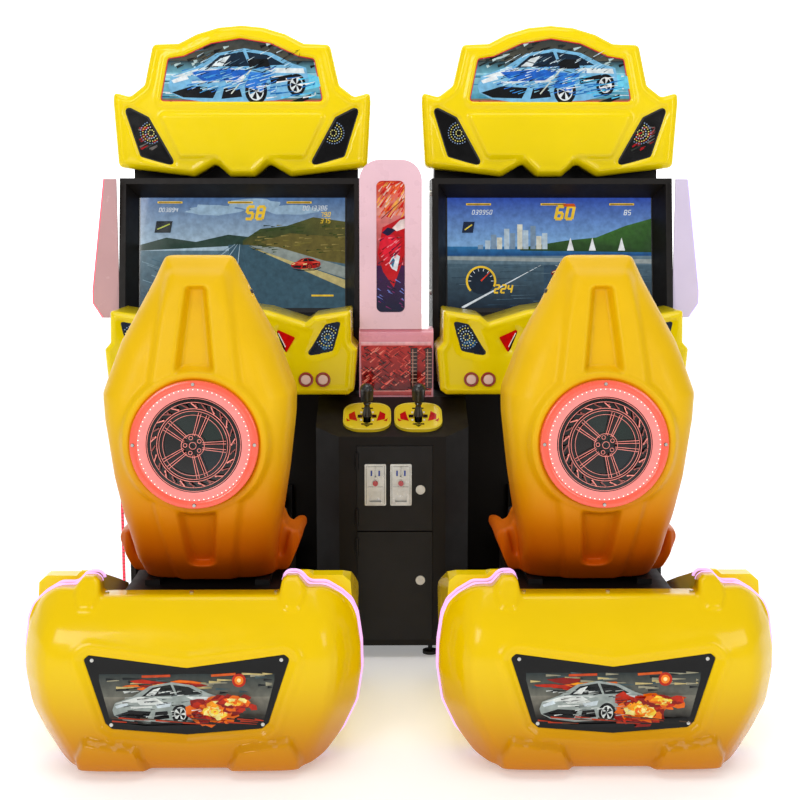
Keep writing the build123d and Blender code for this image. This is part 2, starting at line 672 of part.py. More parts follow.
def make_coin_parts():
    y = PEDESTAL_FRONT_Y - 3
    with BuildPart() as plates:
        for x in COIN_PLATE_X:
            with BuildSketch(upright(x, y - GAP, COIN_PLATE_Z)):
                RectangleRounded(*COIN_PLATE_SIZE, 4)
            extrude(amount=6)
            with BuildSketch(upright(x, y + 45, COIN_PLATE_Z)):
                Rectangle(48, 110)
            extrude(amount=46)
            with BuildSketch(upright(x, y - 7, 0)):
                with Locations((0, COIN_SLOT_Z)):
                    Rectangle(4, 34)
                with Locations((0, COIN_TRAY_Z)):
                    Rectangle(36, 34)
            extrude(amount=-14, mode=Mode.SUBTRACT)
            with BuildSketch(upright(x, y - 8, COIN_RETURN_Z)):
                Circle(COIN_RETURN_R + 0.3)
            extrude(amount=-30, mode=Mode.SUBTRACT)
    save(plates.part, "coin_plates")
    for name, x in zip(SIDES, COIN_PLATE_X):
        with BuildPart() as button:
            with BuildSketch(upright(x, y + 12, COIN_RETURN_Z)):
                Circle(COIN_RETURN_R)
            extrude(amount=24)
        save(button.part, f"{name}_coin_return")
    with BuildPart() as cash_box:
        block((-105, 90), (130, 420), (CABINET_BOTTOM + PANEL, 230))
        block((-102, 87), (133, 417), (CABINET_BOTTOM + PANEL + 3, 231), Mode.SUBTRACT)
    save(cash_box.part, "cash_box")


def shift_plane(x, rise=0.0):
    """The pedestal's sloping top at a shift gate, or a plane above it."""
    lean = radians(PEDESTAL_SLOPE)
    y, z = PEDESTAL_FRONT_Y + SHIFT_RUN, pedestal_top(SHIFT_RUN)
    return Plane(origin=(x, y - rise * sin(lean), z + rise * cos(lean)), x_dir=(1, 0, 0),
                 z_dir=(0, -sin(lean), cos(lean)))


def make_shift_gates():
    with BuildPart() as gates:
        for x in SHIFT_X:
            with BuildSketch(shift_plane(x)):
                RectangleRounded(151, 176, 60)
                SlotOverall(90, 24, rotation=90, mode=Mode.SUBTRACT)
            extrude(amount=9)
    save(gates.part, "shift_gates")


def make_shift_lever(name, x):
    with BuildPart() as lever:
        foot = shift_plane(x, -60)
        with BuildSketch(foot):
            Circle(7)
        extrude(amount=138)
        with BuildSketch(side_on(x)):
            with Locations((foot.origin.Y, foot.origin.Z)):
                Circle(9)
        extrude(amount=14, both=True)
        with BuildSketch(shift_plane(x, 14)):
            Circle(16)
        extrude(amount=30, taper=14)
        with BuildSketch(shift_plane(x, 68)):
            Circle(19)
        extrude(amount=52, taper=-4)
        fillet(lever.faces().sort_by(Axis((0, 0, 0), (0, -sin(radians(PEDESTAL_SLOPE)), 1)))[-1].edges(), 14)
    save(lever.part, f"{name}_shift_lever")


# ---------------------------------------------------------------- lamp tower and shared pieces
def make_lamp():
    with BuildPart() as base:
        block(LAMP_BASE_X, (LAMP_BASE_Y, 470), (LAMP_BASE_Z, TOWER_Z[0]))
        top = base.faces().sort_by(Axis.Z)[-1]
        fillet(top.edges().filter_by(Axis.X), 24)
    save(base.part, "lamp_base")
    middle = (TOWER_Z[0] + TOWER_Z[1]) / 2
    with BuildPart() as tower:
        with BuildSketch(upright(TOWER_X, TOWER_BACK_Y)):
            with Locations((0, middle)):
                Rectangle(2 * TOWER_HALF, TOWER_Z[1] - TOWER_Z[0])
            fillet(vertices().group_by(Axis.Y)[-1], 66)
        extrude(amount=TOWER_DEPTH)
        with BuildSketch(upright(TOWER_X, TOWER_BACK_Y - TOWER_DEPTH)):
            with Locations((0, middle - 6)):
                RectangleRounded(92, 420, 20)
        extrude(amount=-16, mode=Mode.SUBTRACT)
    save(tower.part, "lamp_tower")


def make_side_fins():
    with BuildPart() as fins:
        for side in SIDES.values():
            with BuildSketch(upright(0, FIN_Y + 8)):
                edge = PITCH / 2 + CABINET_HALF
                polygon([(side * (edge + o), z) for o, z in
                         [(0.2, 1503), (44, 1503), (92, 1130), (92, 1088), (60, 1038), (0.2, 1038)]])
            extrude(amount=8)
    save(fins.part, "side_fins")


def make_speakers():
    """Round speakers on mesh plates, behind the slanted windows of headers and dashes."""
    with BuildPart() as speakers:
        for side in SIDES.values():
            cx = side * PITCH / 2
            for way in (-1, 1):
                for x, z, y, window, radius in (
                    (310, 1648, HEADER_FACE_Y, HEADER_SPEAKER_WINDOW, 50),
                    (302, 998, DASH_FACE_Y, DASH_SPEAKER_WINDOW, 38),
                ):
                    with BuildSketch(upright(cx, y + SKIN + 4.3)):
                        polygon([(way * u, w) for u, w in window], radius=4, grow=8)
                    extrude(amount=4)
                    with BuildSketch(upright(cx + way * x, y + SKIN + 34, z)):
                        Circle(radius)
                    extrude(amount=30, taper=12)
    save(speakers.part, "speakers")


def make_control_boards():
    with BuildPart() as boards:
        for side in SIDES.values():
            cx = side * PITCH / 2
            block((cx - 190, cx - 10), (FRONT - PANEL - 55, FRONT - PANEL - 4), (240, 420))
            block((cx + 30, cx + 180), (FRONT - PANEL - 55, FRONT - PANEL - 4), (240, 340))
    save(boards.part, "control_boards")


def make_service_panels():
    with BuildPart() as panels:
        for side in SIDES.values():
            with BuildSketch(upright(side * PITCH / 2, FRONT, sum(SERVICE_Z) / 2)):
                RectangleRounded(2 * SERVICE_HALF - 2, SERVICE_Z[1] - SERVICE_Z[0] - 2, 2)
            extrude(amount=3)
    save(panels.part, "service_panels")


def make_power_inlet():
    with BuildPart() as inlet:
        block((INLET_X - 24.9, INLET_X + 24.9), (FRONT - PANEL, FRONT), (INLET_Z - 14.9, INLET_Z + 14.9))
        block((INLET_X - 13.5, INLET_X + 13.5), (FRONT - 15, FRONT), (INLET_Z - 9.5, INLET_Z + 9.5), Mode.SUBTRACT)
    save(inlet.part, "power_inlet")


def make_feet():
    spots = []
    for side in SIDES.values():
        cx = side * PITCH / 2
        spots += [(cx + x, y, CABINET_BOTTOM) for x in (-360, 360) for y in (630, 820)]
        spots += [(cx + x, y, PLATFORM_Z[0]) for x in (-225, 225) for y in (-700, -60, 480)]
    spots += [(PEDESTAL_X + x, y, CABINET_BOTTOM) for x in (-120, 120) for y in (125, 500)]
    with BuildPart() as feet:
        for x, y, top in spots:
            with BuildSketch(level(0, x, y)):
                Circle(24)
            extrude(amount=10)
            with BuildSketch(level(10, x, y)):
                Circle(7)
            extrude(amount=top - 10)
    save(feet.part, "levelling_feet")


def make_screws():
    """Screw heads: ledge and picture panel of each rear cover, seat lamps, and the cabinets' inner sides."""
    with BuildPart() as screws:
        for side in SIDES.values():
            cx = side * PITCH / 2
            with BuildSketch(level(LEDGE_Z, cx, LEDGE_SCREW_Y)):
                with Locations((-212, 0), (0, 0), (212, 0)):
                    Circle(5)
            extrude(amount=3)
            for x, z in ART_SCREWS:
                with BuildSketch(upright(cx, ART_Y + 3, 0, ART_LEAN).offset(3.1)):
                    with Locations((x, z)):
                        Circle(4.5)
                extrude(amount=2)
            with BuildSketch(upright(cx, LAMP_Y - 14.3, LAMP_Z, LAMP_LEAN).offset(14.1)):
                with PolarLocations(LAMP_R - 9, 4):
                    Circle(4)
            extrude(amount=2)
            with BuildSketch(side_on(side * (PITCH / 2 - CABINET_HALF))):
                with Locations((600, 1455), (600, 1120)):
                    Circle(10)
            extrude(amount=-side * 8)
    save(screws.part, "screws")


for name, side in SIDES.items():
    make_cabinet(name, side)
    make_header(name, side)
    make_dash(name, side)
    make_buttons(name, side)
    make_steering_wheel(name, side)
    make_pedals(name, side)
    make_platform(name, side)
    make_seat_shell(name, side)
    make_cushions(name, side)
    make_seat_lamp(name, side)
    make_seat_lever(name, side)
    make_rear_cover(name, side)
    make_fender(name, side)
for name, x in zip(SIDES, SHIFT_X):
    make_shift_lever(name, x)
make_monitors()
make_steering_columns()
make_pedal_boxes()
make_seat_rails()
make_picture_panels()
make_trim_bands()
make_light_tubes()
make_pedestal()
make_doors()
make_coin_parts()
make_shift_gates()
make_lamp()
make_side_fins()
make_speakers()
make_control_boards()
make_service_panels()
make_power_inlet()
make_feet()
make_screws()
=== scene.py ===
import json
import math
import random

import bmesh
import bpy
import numpy as np
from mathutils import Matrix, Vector, geometry


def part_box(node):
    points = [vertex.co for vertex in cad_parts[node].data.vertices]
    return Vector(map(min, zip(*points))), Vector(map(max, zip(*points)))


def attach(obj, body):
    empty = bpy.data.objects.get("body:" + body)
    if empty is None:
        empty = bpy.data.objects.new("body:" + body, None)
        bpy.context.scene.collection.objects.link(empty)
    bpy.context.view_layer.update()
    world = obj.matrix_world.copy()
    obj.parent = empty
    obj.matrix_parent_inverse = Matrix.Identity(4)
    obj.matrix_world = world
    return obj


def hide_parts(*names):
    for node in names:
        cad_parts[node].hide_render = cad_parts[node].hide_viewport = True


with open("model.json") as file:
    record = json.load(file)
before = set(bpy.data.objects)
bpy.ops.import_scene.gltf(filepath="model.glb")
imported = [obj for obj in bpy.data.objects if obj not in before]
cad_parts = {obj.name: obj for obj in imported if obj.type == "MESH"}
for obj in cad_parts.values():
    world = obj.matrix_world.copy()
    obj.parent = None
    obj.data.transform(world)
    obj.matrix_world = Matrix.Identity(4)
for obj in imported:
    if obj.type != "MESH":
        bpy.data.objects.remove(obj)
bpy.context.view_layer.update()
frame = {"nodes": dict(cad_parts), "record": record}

NODES = frame["nodes"]
SIDES = {"left": -1, "right": 1}
random.seed(7)

# Driving places, in metres, read from the frame
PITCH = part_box("right_cabinet")[0].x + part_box("right_cabinet")[1].x
HEADER_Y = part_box("left_header_shell")[0].y
HEADER_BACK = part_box("left_header_shell")[1].y
DASH_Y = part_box("left_dash_shell")[0].y
DASH_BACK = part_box("left_dash_shell")[1].y
COVER_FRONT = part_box("left_rear_cover")[1].y
LAMP_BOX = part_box("left_seat_lamp")

EAST, UP = Vector((1, 0, 0)), Vector((0, 0, 1))
REARWARD = (0, -1, 0)           # towards the camera, where the seats turn their backs
GATE_WAY = (0, -0.34, 0.94)     # the way in which the sloping shift gates face

# The camera, as solved from the photograph: its place, its angles in degrees and its lens in millimetres
CAMERA_PLACE = (-0.031, -4.030, 1.363)
CAMERA_DOWN, CAMERA_TURN = 7.56, -0.54
CAMERA_LENS, CAMERA_SENSOR = 60.75, 36
STUDIO_LAMPS = (  # name, place, watts
    ("key", (-4.0, -8.0, 4.2), 240), ("fill", (4.5, -7.5, 3.2), 125),
    ("top", (0, -1.0, 6.0), 90), ("rim", (0, 3.6, 3.2), 60),
)
LAMP_SIZE, LAMP_AIM, SKY_LIGHT = 3.0, (0, 0, 0.8), 0.39


def centre_of(side):
    """X of a machine's middle plane."""
    return side * PITCH / 2


# ---------------------------------------------------------------- camera, light, floor
def make_studio():
    """The camera, four soft lamps, a white floor and a white backdrop."""
    scene = bpy.context.scene
    scene.view_settings.view_transform = "Standard"
    camera = bpy.data.objects.new("camera", bpy.data.cameras.new("camera"))
    scene.collection.objects.link(camera)
    camera.data.lens, camera.data.sensor_width = CAMERA_LENS, CAMERA_SENSOR
    camera.location = CAMERA_PLACE
    camera.rotation_euler = (math.radians(90 - CAMERA_DOWN), 0, math.radians(CAMERA_TURN))
    scene.camera = camera
    for name, place, watts in STUDIO_LAMPS:
        light = bpy.data.lights.new(name, "AREA")
        light.size, light.energy = LAMP_SIZE, watts
        lamp = bpy.data.objects.new(name, light)
        scene.collection.objects.link(lamp)
        lamp.location = place
        lamp.rotation_euler = (Vector(LAMP_AIM) - Vector(place)).to_track_quat("-Z", "Y").to_euler()
    world = bpy.data.worlds.new("studio")
    scene.world = world
    world.use_nodes = True
    sky = world.node_tree.nodes["Background"]
    sky.inputs["Color"].default_value = (1, 1, 1, 1)
    sky.inputs["Strength"].default_value = SKY_LIGHT
    bpy.ops.mesh.primitive_plane_add(size=60, location=(0, 0, -0.0005))
    floor = bpy.context.object
    floor.name = "floor"
    floor.data.materials.append(surface("floor_paint", (0.93, 0.93, 0.93), 0.55, vary=0.01, bump=0,
                                        glow=0.30))
    bpy.ops.mesh.primitive_plane_add(size=60, location=(0, 16, 20), rotation=(math.radians(90), 0, 0))
    backdrop = bpy.context.object
    backdrop.name = "backdrop"
    backdrop.data.materials.append(surface("backdrop_paper", (1, 1, 1), 0.9, vary=0.0, bump=0, glow=0.95))


# ---------------------------------------------------------------- materials
def add_node(tree, kind, feed=None, **values):
    """A shader node with some inputs set, and feed, an output, linked to the input named in it."""
    made = tree.nodes.new(f"ShaderNode{kind}")
    for key, value in values.items():
        made.inputs[key.replace("_", " ")].default_value = value
    if feed:
        tree.links.new(feed[0], made.inputs[feed[1]])
    return made


def surface(name, colour, rough, metallic=0.0, coat=0.0, vary=0.05, scale=6.0, bump=0.02, grain=180.0,
            glow=0.0, spread=0.06, shine=0.5, darker_below=None):
    """A procedural finish: slow colour drift, uneven roughness and a fine grain bump.

    The last argument is (colour, low, high): the colour the finish darkens to, from height high down to low.
    On the seat and rear cover finishes this is painted shade.
    """
    title = f"{name}_finish"  # the frame's own materials are named after their slots
    made = bpy.data.materials.get(title)
    if made:
        return made
    made = bpy.data.materials.new(title)
    made.use_nodes = True
    tree = made.node_tree
    shader = tree.nodes["Principled BSDF"]
    place = add_node(tree, "TexCoord").outputs["Object"]
    drift = add_node(tree, "TexNoise", (place, "Vector"), Scale=scale, Detail=4)
    ramp = add_node(tree, "ValToRGB", (drift.outputs["Fac"], "Fac"))
    for stop, at, gain in zip(ramp.color_ramp.elements, (0.3, 0.7), (1 - vary, 1 + vary)):
        stop.position = at
        stop.color = (*(min(1, c * gain) for c in colour), 1)
    base = ramp.outputs["Color"]
    # Darker colour towards the bottom: painted shade on the seat and rear covers.
    if darker_below:
        deep, low, high = darker_below
        split = add_node(tree, "SeparateXYZ", (place, "Vector"))
        height = add_node(tree, "MapRange", (split.outputs["Z"], "Value"), From_Min=low, From_Max=high)
        height.interpolation_type = "SMOOTHSTEP"
        mix = add_node(tree, "MixRGB", (height.outputs["Result"], "Fac"), Color1=(*deep, 1))
        tree.links.new(base, mix.inputs["Color2"])
        base = mix.outputs["Color"]
    tree.links.new(base, shader.inputs["Base Color"])
    smear = add_node(tree, "TexNoise", (place, "Vector"), Scale=scale * 5, Detail=6)
    level = add_node(tree, "MapRange", (smear.outputs["Fac"], "Value"), From_Min=0.3, From_Max=0.7,
                     To_Min=max(0.02, rough - spread), To_Max=min(1, rough + spread))
    tree.links.new(level.outputs["Result"], shader.inputs["Roughness"])
    if bump:
        fine = add_node(tree, "TexNoise", (place, "Vector"), Scale=grain, Detail=3)
        relief = add_node(tree, "Bump", (fine.outputs["Fac"], "Height"), Strength=bump, Distance=0.001)
        tree.links.new(relief.outputs["Normal"], shader.inputs["Normal"])
    shader.inputs["Metallic"].default_value = metallic
    shader.inputs["Coat Weight"].default_value = coat
    shader.inputs["Coat Roughness"].default_value = 0.03
    shader.inputs["Specular IOR Level"].default_value = shine
    if glow:
        shader.inputs["Emission Strength"].default_value = glow
        tree.links.new(ramp.outputs["Color"], shader.inputs["Emission Color"])
    return made


YELLOW = dict(name="yellow_gel_coat", colour=(0.88, 0.66, 0.0), rough=0.2, coat=0.16, shine=0.2, vary=0.02,
              bump=0.012, grain=60)
# The rear cover's finish darkens towards its bottom, below 0.30 m: painted shade on its lower parts.
COVER = dict(name="cover_gel_coat", colour=(0.80, 0.53, 0.0), rough=0.2, coat=0.14, shine=0.15, vary=0.02,
             bump=0.012, grain=60,
             darker_below=((0.52, 0.17, 0.0), 0.0, 0.30))
# The seat's finish darkens to red-orange from 0.90 m down to 0.42 m: painted shade on its lower parts.
MOULDED = dict(name="seat_moulding", colour=(0.76, 0.45, 0.0), rough=0.42, shine=0.2, vary=0.03, bump=0.08,
               grain=420,
               darker_below=((0.60, 0.095, 0.0), 0.42, 0.90))
BLACK = dict(name="black_laminate", colour=(0.008, 0.006, 0.005), rough=0.5, shine=0.22, vary=0.2, bump=0.10,
             grain=500)
STEEL_BLACK = dict(name="black_powder_coat", colour=(0.007, 0.006, 0.006), rough=0.42, shine=0.3, vary=0.25,
                   bump=0.18, grain=700)
RUBBER = dict(name="black_rubber", colour=(0.012, 0.012, 0.012), rough=0.7, vary=0.3, bump=0.2, grain=600)
METAL = dict(name="brushed_metal", colour=(0.55, 0.54, 0.50), rough=0.32, metallic=1.0, vary=0.12, scale=30,
             bump=0.06)
PINK = dict(name="pink_lens", colour=(0.68, 0.27, 0.34), rough=0.30, coat=0.4, vary=0.05, glow=0.14,
            bump=0.05, grain=120)
TUBE_LIGHT = dict(name="light_tube", colour=(0.80, 0.45, 0.85), rough=0.3, glow=0.6, vary=0.03)
PALE_PINK = dict(PINK, name="pale_pink_lens", colour=(0.74, 0.48, 0.55))


# ---------------------------------------------------------------- mesh tools
def mesh_piece(name, verts, faces, finish, sharp=35, smooth=True):
    """A new object. Its finish is a material, or the values that surface() makes one from."""
    mesh = bpy.data.meshes.new(name)
    mesh.from_pydata([tuple(map(float, v)) for v in verts], [], [tuple(map(int, f)) for f in faces])
    mesh.validate()
    mesh.materials.append(finish if isinstance(finish, bpy.types.Material) else surface(**finish))
    piece = bpy.data.objects.new(name, mesh)
    bpy.context.scene.collection.objects.link(piece)
    if smooth:
        mesh.shade_smooth()
        mesh.set_sharp_from_angle(angle=math.radians(sharp))
    return piece


def rounded(points, radius, steps=6):
    """A closed outline with its corners rounded."""
    made, n = [], len(points)
    for i, p in enumerate(points):
        p, a, b = Vector(p), Vector(points[i - 1]), Vector(points[(i + 1) % n])
        to_a, to_b = (a - p), (b - p)
        r = radius[i] if isinstance(radius, (list, tuple)) else radius
        turn = math.pi - to_a.angle(to_b)
        reach = min(r * math.tan(turn / 2), 0.48 * to_a.length, 0.48 * to_b.length)
        if reach < 1e-4:
            made.append(p)
            continue
        start, end = p + to_a.normalized() * reach, p + to_b.normalized() * reach
        for k in range(steps + 1):
            t = k / steps
            made.append(start * (1 - t) ** 2 + p * 2 * t * (1 - t) + end * t * t)
    return [(v.x, v.y) for v in made]


def finer(points, step):
    """The closed outline with long runs divided."""
    made = []
    for (ax, az), (bx, bz) in zip(points, points[1:] + points[:1]):
        count = max(1, round(math.hypot(bx - ax, bz - az) / step))
        made += [(ax + (bx - ax) * k / count, az + (bz - az) * k / count) for k in range(count)]
    return made


def whole(half):
    """A full outline, anticlockwise, from its right half listed from the top down."""
    outline = half + [(-x, z) for x, z in reversed(half) if x > 1e-6]
    area = sum(a[0] * b[1] - b[0] * a[1] for a, b in zip(outline, outline[1:] + outline[:1]))
    return outline if area > 0 else outline[::-1]


def signed(x, z, loop):
    """Distance of points inside a closed outline to its edge, negative outside."""
    a = np.array(loop)
    b = np.roll(a, -1, axis=0)
    far = np.full(x.shape, 1e9)
    inside = np.zeros(x.shape, bool)
    for (ax, az), (bx, bz) in zip(a, b):
        ux, uz = bx - ax, bz - az
        t = np.clip(((x - ax) * ux + (z - az) * uz) / (ux * ux + uz * uz + 1e-15), 0, 1)
        far = np.minimum(far, np.hypot(x - ax - t * ux, z - az - t * uz))
        if az != bz:
            inside ^= ((az > z) != (bz > z)) & (x < ux * (z - az) / (bz - az) + ax)
    return np.where(inside, far, -far)


def soft(xs, ys, width):
    """A table's curve on a fine grid, its corners smoothed over width."""
    grid = np.linspace(xs[0], xs[-1], 500)
    reach = max(1, int(width / (grid[1] - grid[0])))
    kernel = np.hanning(2 * reach + 3)[1:-1]
    values = np.pad(np.interp(grid, xs, ys), reach, mode="reflect", reflect_type="odd")
    return grid, np.convolve(values, kernel / kernel.sum(), "valid")


def ease(value, low, high):
    """0 below low, 1 above high, and smooth between."""
    t = np.clip((value - low) / (high - low), 0, 1)
    return t * t * (3 - 2 * t)


def edge_round(d, radius):
    """How far a rounded edge falls back at distance d inside it."""
    e = radius - np.clip(d, 0, radius)
    return radius - np.sqrt(np.maximum(radius * radius - e * e, 0))


def relief_surface(outline, depth_at, step, holes=(), rings=(0.001, 0.003, 0.006, 0.010, 0.015)):
    """Vertices and triangles of a surface that faces -Y: its outline in X and Z, its Y from depth_at."""
    outline = finer(outline, step)
    loops = [outline] + [finer(h, step)[::-1] for h in holes]
    points, edges, loop_ids = [], [], []
    for loop in loops:
        first = len(points)
        points += loop
        ids = list(range(first, len(points)))
        loop_ids.append(ids)
        edges += list(zip(ids, ids[1:] + ids[:1]))
    inner = []
    for loop in loops:
        a = np.array(loop)
        along = np.roll(a, -1, axis=0) - np.roll(a, 1, axis=0)
        normal = np.stack([-along[:, 1], along[:, 0]], axis=1)
        normal /= np.linalg.norm(normal, axis=1)[:, None] + 1e-12
        inner += [a + normal * r for r in rings]
    inner = np.concatenate(inner)
    near = np.min([np.abs(signed(inner[:, 0], inner[:, 1], loop)) for loop in loops], axis=0)
    wanted = np.concatenate([np.full(len(loop), r) for loop in loops for r in rings])
    inner = inner[near > 0.93 * wanted]
    low, high = np.min(outline, axis=0), np.max(outline, axis=0)
    gx, gz = np.meshgrid(np.arange(low[0], high[0], step), np.arange(low[1], high[1], step))
    gx = gx + 0.5 * step * (np.arange(gx.shape[0]) % 2)[:, None]
    grid = np.stack([gx.ravel(), gz.ravel()], axis=1)
    everything = np.concatenate([inner, grid])
    keep = signed(everything[:, 0], everything[:, 1], loops[0]) > 0
    for loop in loops[1:]:
        keep &= signed(everything[:, 0], everything[:, 1], loop) < 0
    close = np.min([np.abs(signed(grid[:, 0], grid[:, 1], loop)) for loop in loops], axis=0)
    keep[len(inner):] &= close > rings[-1] + 0.5 * step
    points = points + [tuple(p) for p in everything[keep]]
    flat, _, tris, sources, *_ = geometry.delaunay_2d_cdt([Vector(p) for p in points], edges, [], 0, 1e-7)
    flat = np.array([(v.x, v.y) for v in flat])
    where = {source: k for k, found in enumerate(sources) for source in found}
    loop_ids = [[where[i] for i in ids] for ids in loop_ids]
    tris = np.array([t for t in tris if len(t) == 3])
    middle = flat[tris].mean(axis=1)
    good = signed(middle[:, 0], middle[:, 1], loops[0]) > 0
    for loop in loops[1:]:
        good &= signed(middle[:, 0], middle[:, 1], loop) < 0
    tris = tris[good]
    a, b, c = flat[tris[:, 0]], flat[tris[:, 1]], flat[tris[:, 2]]
    turn = (b[:, 0] - a[:, 0]) * (c[:, 1] - a[:, 1]) - (b[:, 1] - a[:, 1]) * (c[:, 0] - a[:, 0])
    tris[turn < 0] = tris[turn < 0][:, ::-1]
    d = signed(flat[:, 0], flat[:, 1], loops[0])
    d_hole = [-signed(flat[:, 0], flat[:, 1], loop) for loop in loops[1:]]
    depth = depth_at(flat[:, 0], flat[:, 1], np.maximum(d, 0), d_hole)
    verts = np.stack([flat[:, 0], depth, flat[:, 1]], axis=1)
    return verts, [tuple(t) for t in tris], loop_ids


def shell_mesh(outline, depth_at, back, step=0.006, holes=(), hole_depth=0.005, **more):
    """A relief with walls that run back from its outline to the plane Y = back, and into its holes."""
    verts, faces, loops = relief_surface(outline, depth_at, step, holes, **more)
    verts, faces = list(verts), list(faces)
    for k, ids in enumerate(loops):
        first = len(verts)
        for i in ids:
            x, y, z = verts[i]
            verts.append((x, back if k == 0 else y + hole_depth, z))
        n = len(ids)
        for i in range(n):
            j = (i + 1) % n
            faces.append((ids[i], first + i, first + j, ids[j]))
    return verts, faces


def placed(verts, side):
    """The vertices of one machine's piece, mirrored for the right machine and moved to its centre."""
    moved = np.array(verts, float)
    moved[:, 0] = moved[:, 0] * -side + centre_of(side)
    return moved


def facing(faces, side):
    """The faces of one machine's piece, turned again where it was mirrored."""
    return faces if side < 0 else [f[::-1] for f in faces]


def thicken(piece, thickness):
    """A wall of this thickness behind an open skin."""
    wall = piece.modifiers.new("wall", "SOLIDIFY")
    wall.thickness, wall.offset = thickness, -1
    return piece


def apply_all(piece):
    """Turns a piece's modifiers into mesh."""
    graph = bpy.context.evaluated_depsgraph_get()
    mesh = bpy.data.meshes.new_from_object(piece.evaluated_get(graph))
    piece.modifiers.clear()
    piece.data = mesh
    return piece


def ride_as(piece, body, slot, *nodes):
    """The piece moves with a body and stands for the named CAD nodes, which it hides. Its slot is not used.
    """
    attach(piece, body)
    if nodes:
        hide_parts(*nodes)
    return piece


def front_of(node, way, low=(-9, -9, -9), high=(9, 9, 9)):
    """Middle, normal, right and up of a node's outermost flat face towards a direction, within a box."""
    mesh, way = NODES[node].data, Vector(way)
    faces = [f for f in mesh.polygons if f.normal.dot(way) > 0.9
             and all(low[i] < f.center[i] < high[i] for i in range(3))]
    normal = sum((f.normal * f.area for f in faces), Vector()).normalized()
    top = max(f.center.dot(normal) for f in faces)
    corners = [mesh.vertices[v].co for f in faces if f.center.dot(normal) > top - 5e-4 for v in f.vertices]
    across = UP.cross(normal).normalized()
    up = normal.cross(across)
    u, v = [c.dot(across) for c in corners], [c.dot(up) for c in corners]
    middle = across * (min(u) + max(u)) / 2 + up * (min(v) + max(v)) / 2 + normal * top
    return middle, normal, across, up


def turned(name, profile, middle, normal, finish, steps=64, sharp=35):
    """A round piece: its profile is (radius, height along the normal), from the outside in."""
    normal = Vector(normal).normalized()
    across = normal.orthogonal().normalized()
    up = normal.cross(across)
    verts, faces = [], []
    for r, h in profile:
        for k in range(steps):
            a = math.tau * k / steps
            ray = across * math.cos(a) + up * math.sin(a)
            verts.append(Vector(middle) + ray * max(r, 1e-5) + normal * h)
    for ring in range(len(profile) - 1):
        for k in range(steps):
            j = (k + 1) % steps
            a, b = ring * steps, (ring + 1) * steps
            faces.append((a + k, a + j, b + j, b + k))
    return mesh_piece(name, verts, faces, finish, sharp)


def tube(name, runs, radius, finish, closed=True):
    """Round lines through points, as one piece."""
    curve = bpy.data.curves.new(name, "CURVE")
    curve.dimensions = "3D"
    curve.bevel_depth, curve.bevel_resolution = radius, 2
    for points in runs:
        line = curve.splines.new("POLY")
        line.points.add(len(points) - 1)
        for target, p in zip(line.points, points):
            target.co = (*p, 1)
        line.use_cyclic_u = closed
    curve.materials.append(surface(**finish))
    piece = bpy.data.objects.new(name, curve)
    bpy.context.scene.collection.objects.link(piece)
    return piece


# ---------------------------------------------------------------- printed pictures
def paint_finish(name, glow, rough, coat, body=1.0):
    """Printed or lit colours from a piece's own colour layer, with a little unevenness."""
    made = bpy.data.materials.get(f"{name}_finish")
    if made:
        return made
    made = surface(name, (1, 1, 1), rough, coat=coat, vary=0.0, bump=0.01)
    tree = made.node_tree
    shader = tree.nodes["Principled BSDF"]
    layer = add_node(tree, "Attribute")
    layer.attribute_name = "paint"
    place = tree.nodes["Texture Coordinate"].outputs["Object"]
    drift = add_node(tree, "TexNoise", (place, "Vector"), Scale=55, Detail=8)
    level = add_node(tree, "MapRange", (drift.outputs["Fac"], "Value"), From_Min=0.3, From_Max=0.7,
                     To_Min=0.78, To_Max=1.18)
    mix = add_node(tree, "VectorMath")
    mix.operation = "SCALE"
    tree.links.new(layer.outputs["Color"], mix.inputs[0])
    tree.links.new(level.outputs["Result"], mix.inputs["Scale"])
    dim = add_node(tree, "VectorMath")
    dim.operation = "SCALE"
    dim.inputs["Scale"].default_value = body
    tree.links.new(mix.outputs["Vector"], dim.inputs[0])
    tree.links.new(dim.outputs["Vector"], shader.inputs["Base Color"])
    tree.links.new(mix.outputs["Vector"], shader.inputs["Emission Color"])
    shader.inputs["Emission Strength"].default_value = glow
    shader.inputs["Specular IOR Level"].default_value = 0.2
    return made


def painting(name, layers, middle, across, up, finish, body, slot, lift=0.00004, nodes=()):
    """Flat coloured shapes (points, colour or one colour per point) in thin layers, one above another."""
    verts, faces, colours = [], [], []
    normal = across.cross(up)
    for k, (points, colour) in enumerate(layers):
        faces.append(tuple(range(len(verts), len(verts) + len(points))))
        verts += [middle + across * u + up * v + normal * lift * k for u, v in points]
        each = colour if isinstance(colour[0], (tuple, list)) else [colour] * len(points)
        colours += [(*(x ** 2.2 for x in c), 1.0) for c in each]
    mesh = bpy.data.meshes.new(name)
    mesh.from_pydata(verts, [], faces)
    shade = mesh.color_attributes.new("paint", "FLOAT_COLOR", "POINT")
    shade.data.foreach_set("color", np.array(colours, np.float32).ravel())
    shaper = bmesh.new()
    shaper.from_mesh(mesh)
    bmesh.ops.triangulate(shaper, faces=shaper.faces[:])
    bmesh.ops.recalc_face_normals(shaper, faces=[])
    for face in shaper.faces:
        face.normal_update()
        if face.normal.dot(normal) < 0:
            face.normal_flip()
    shaper.to_mesh(mesh)
    shaper.free()
    mesh.materials.append(finish)
    piece = bpy.data.objects.new(name, mesh)
    bpy.context.scene.collection.objects.link(piece)
    return ride_as(piece, body, slot, *nodes)


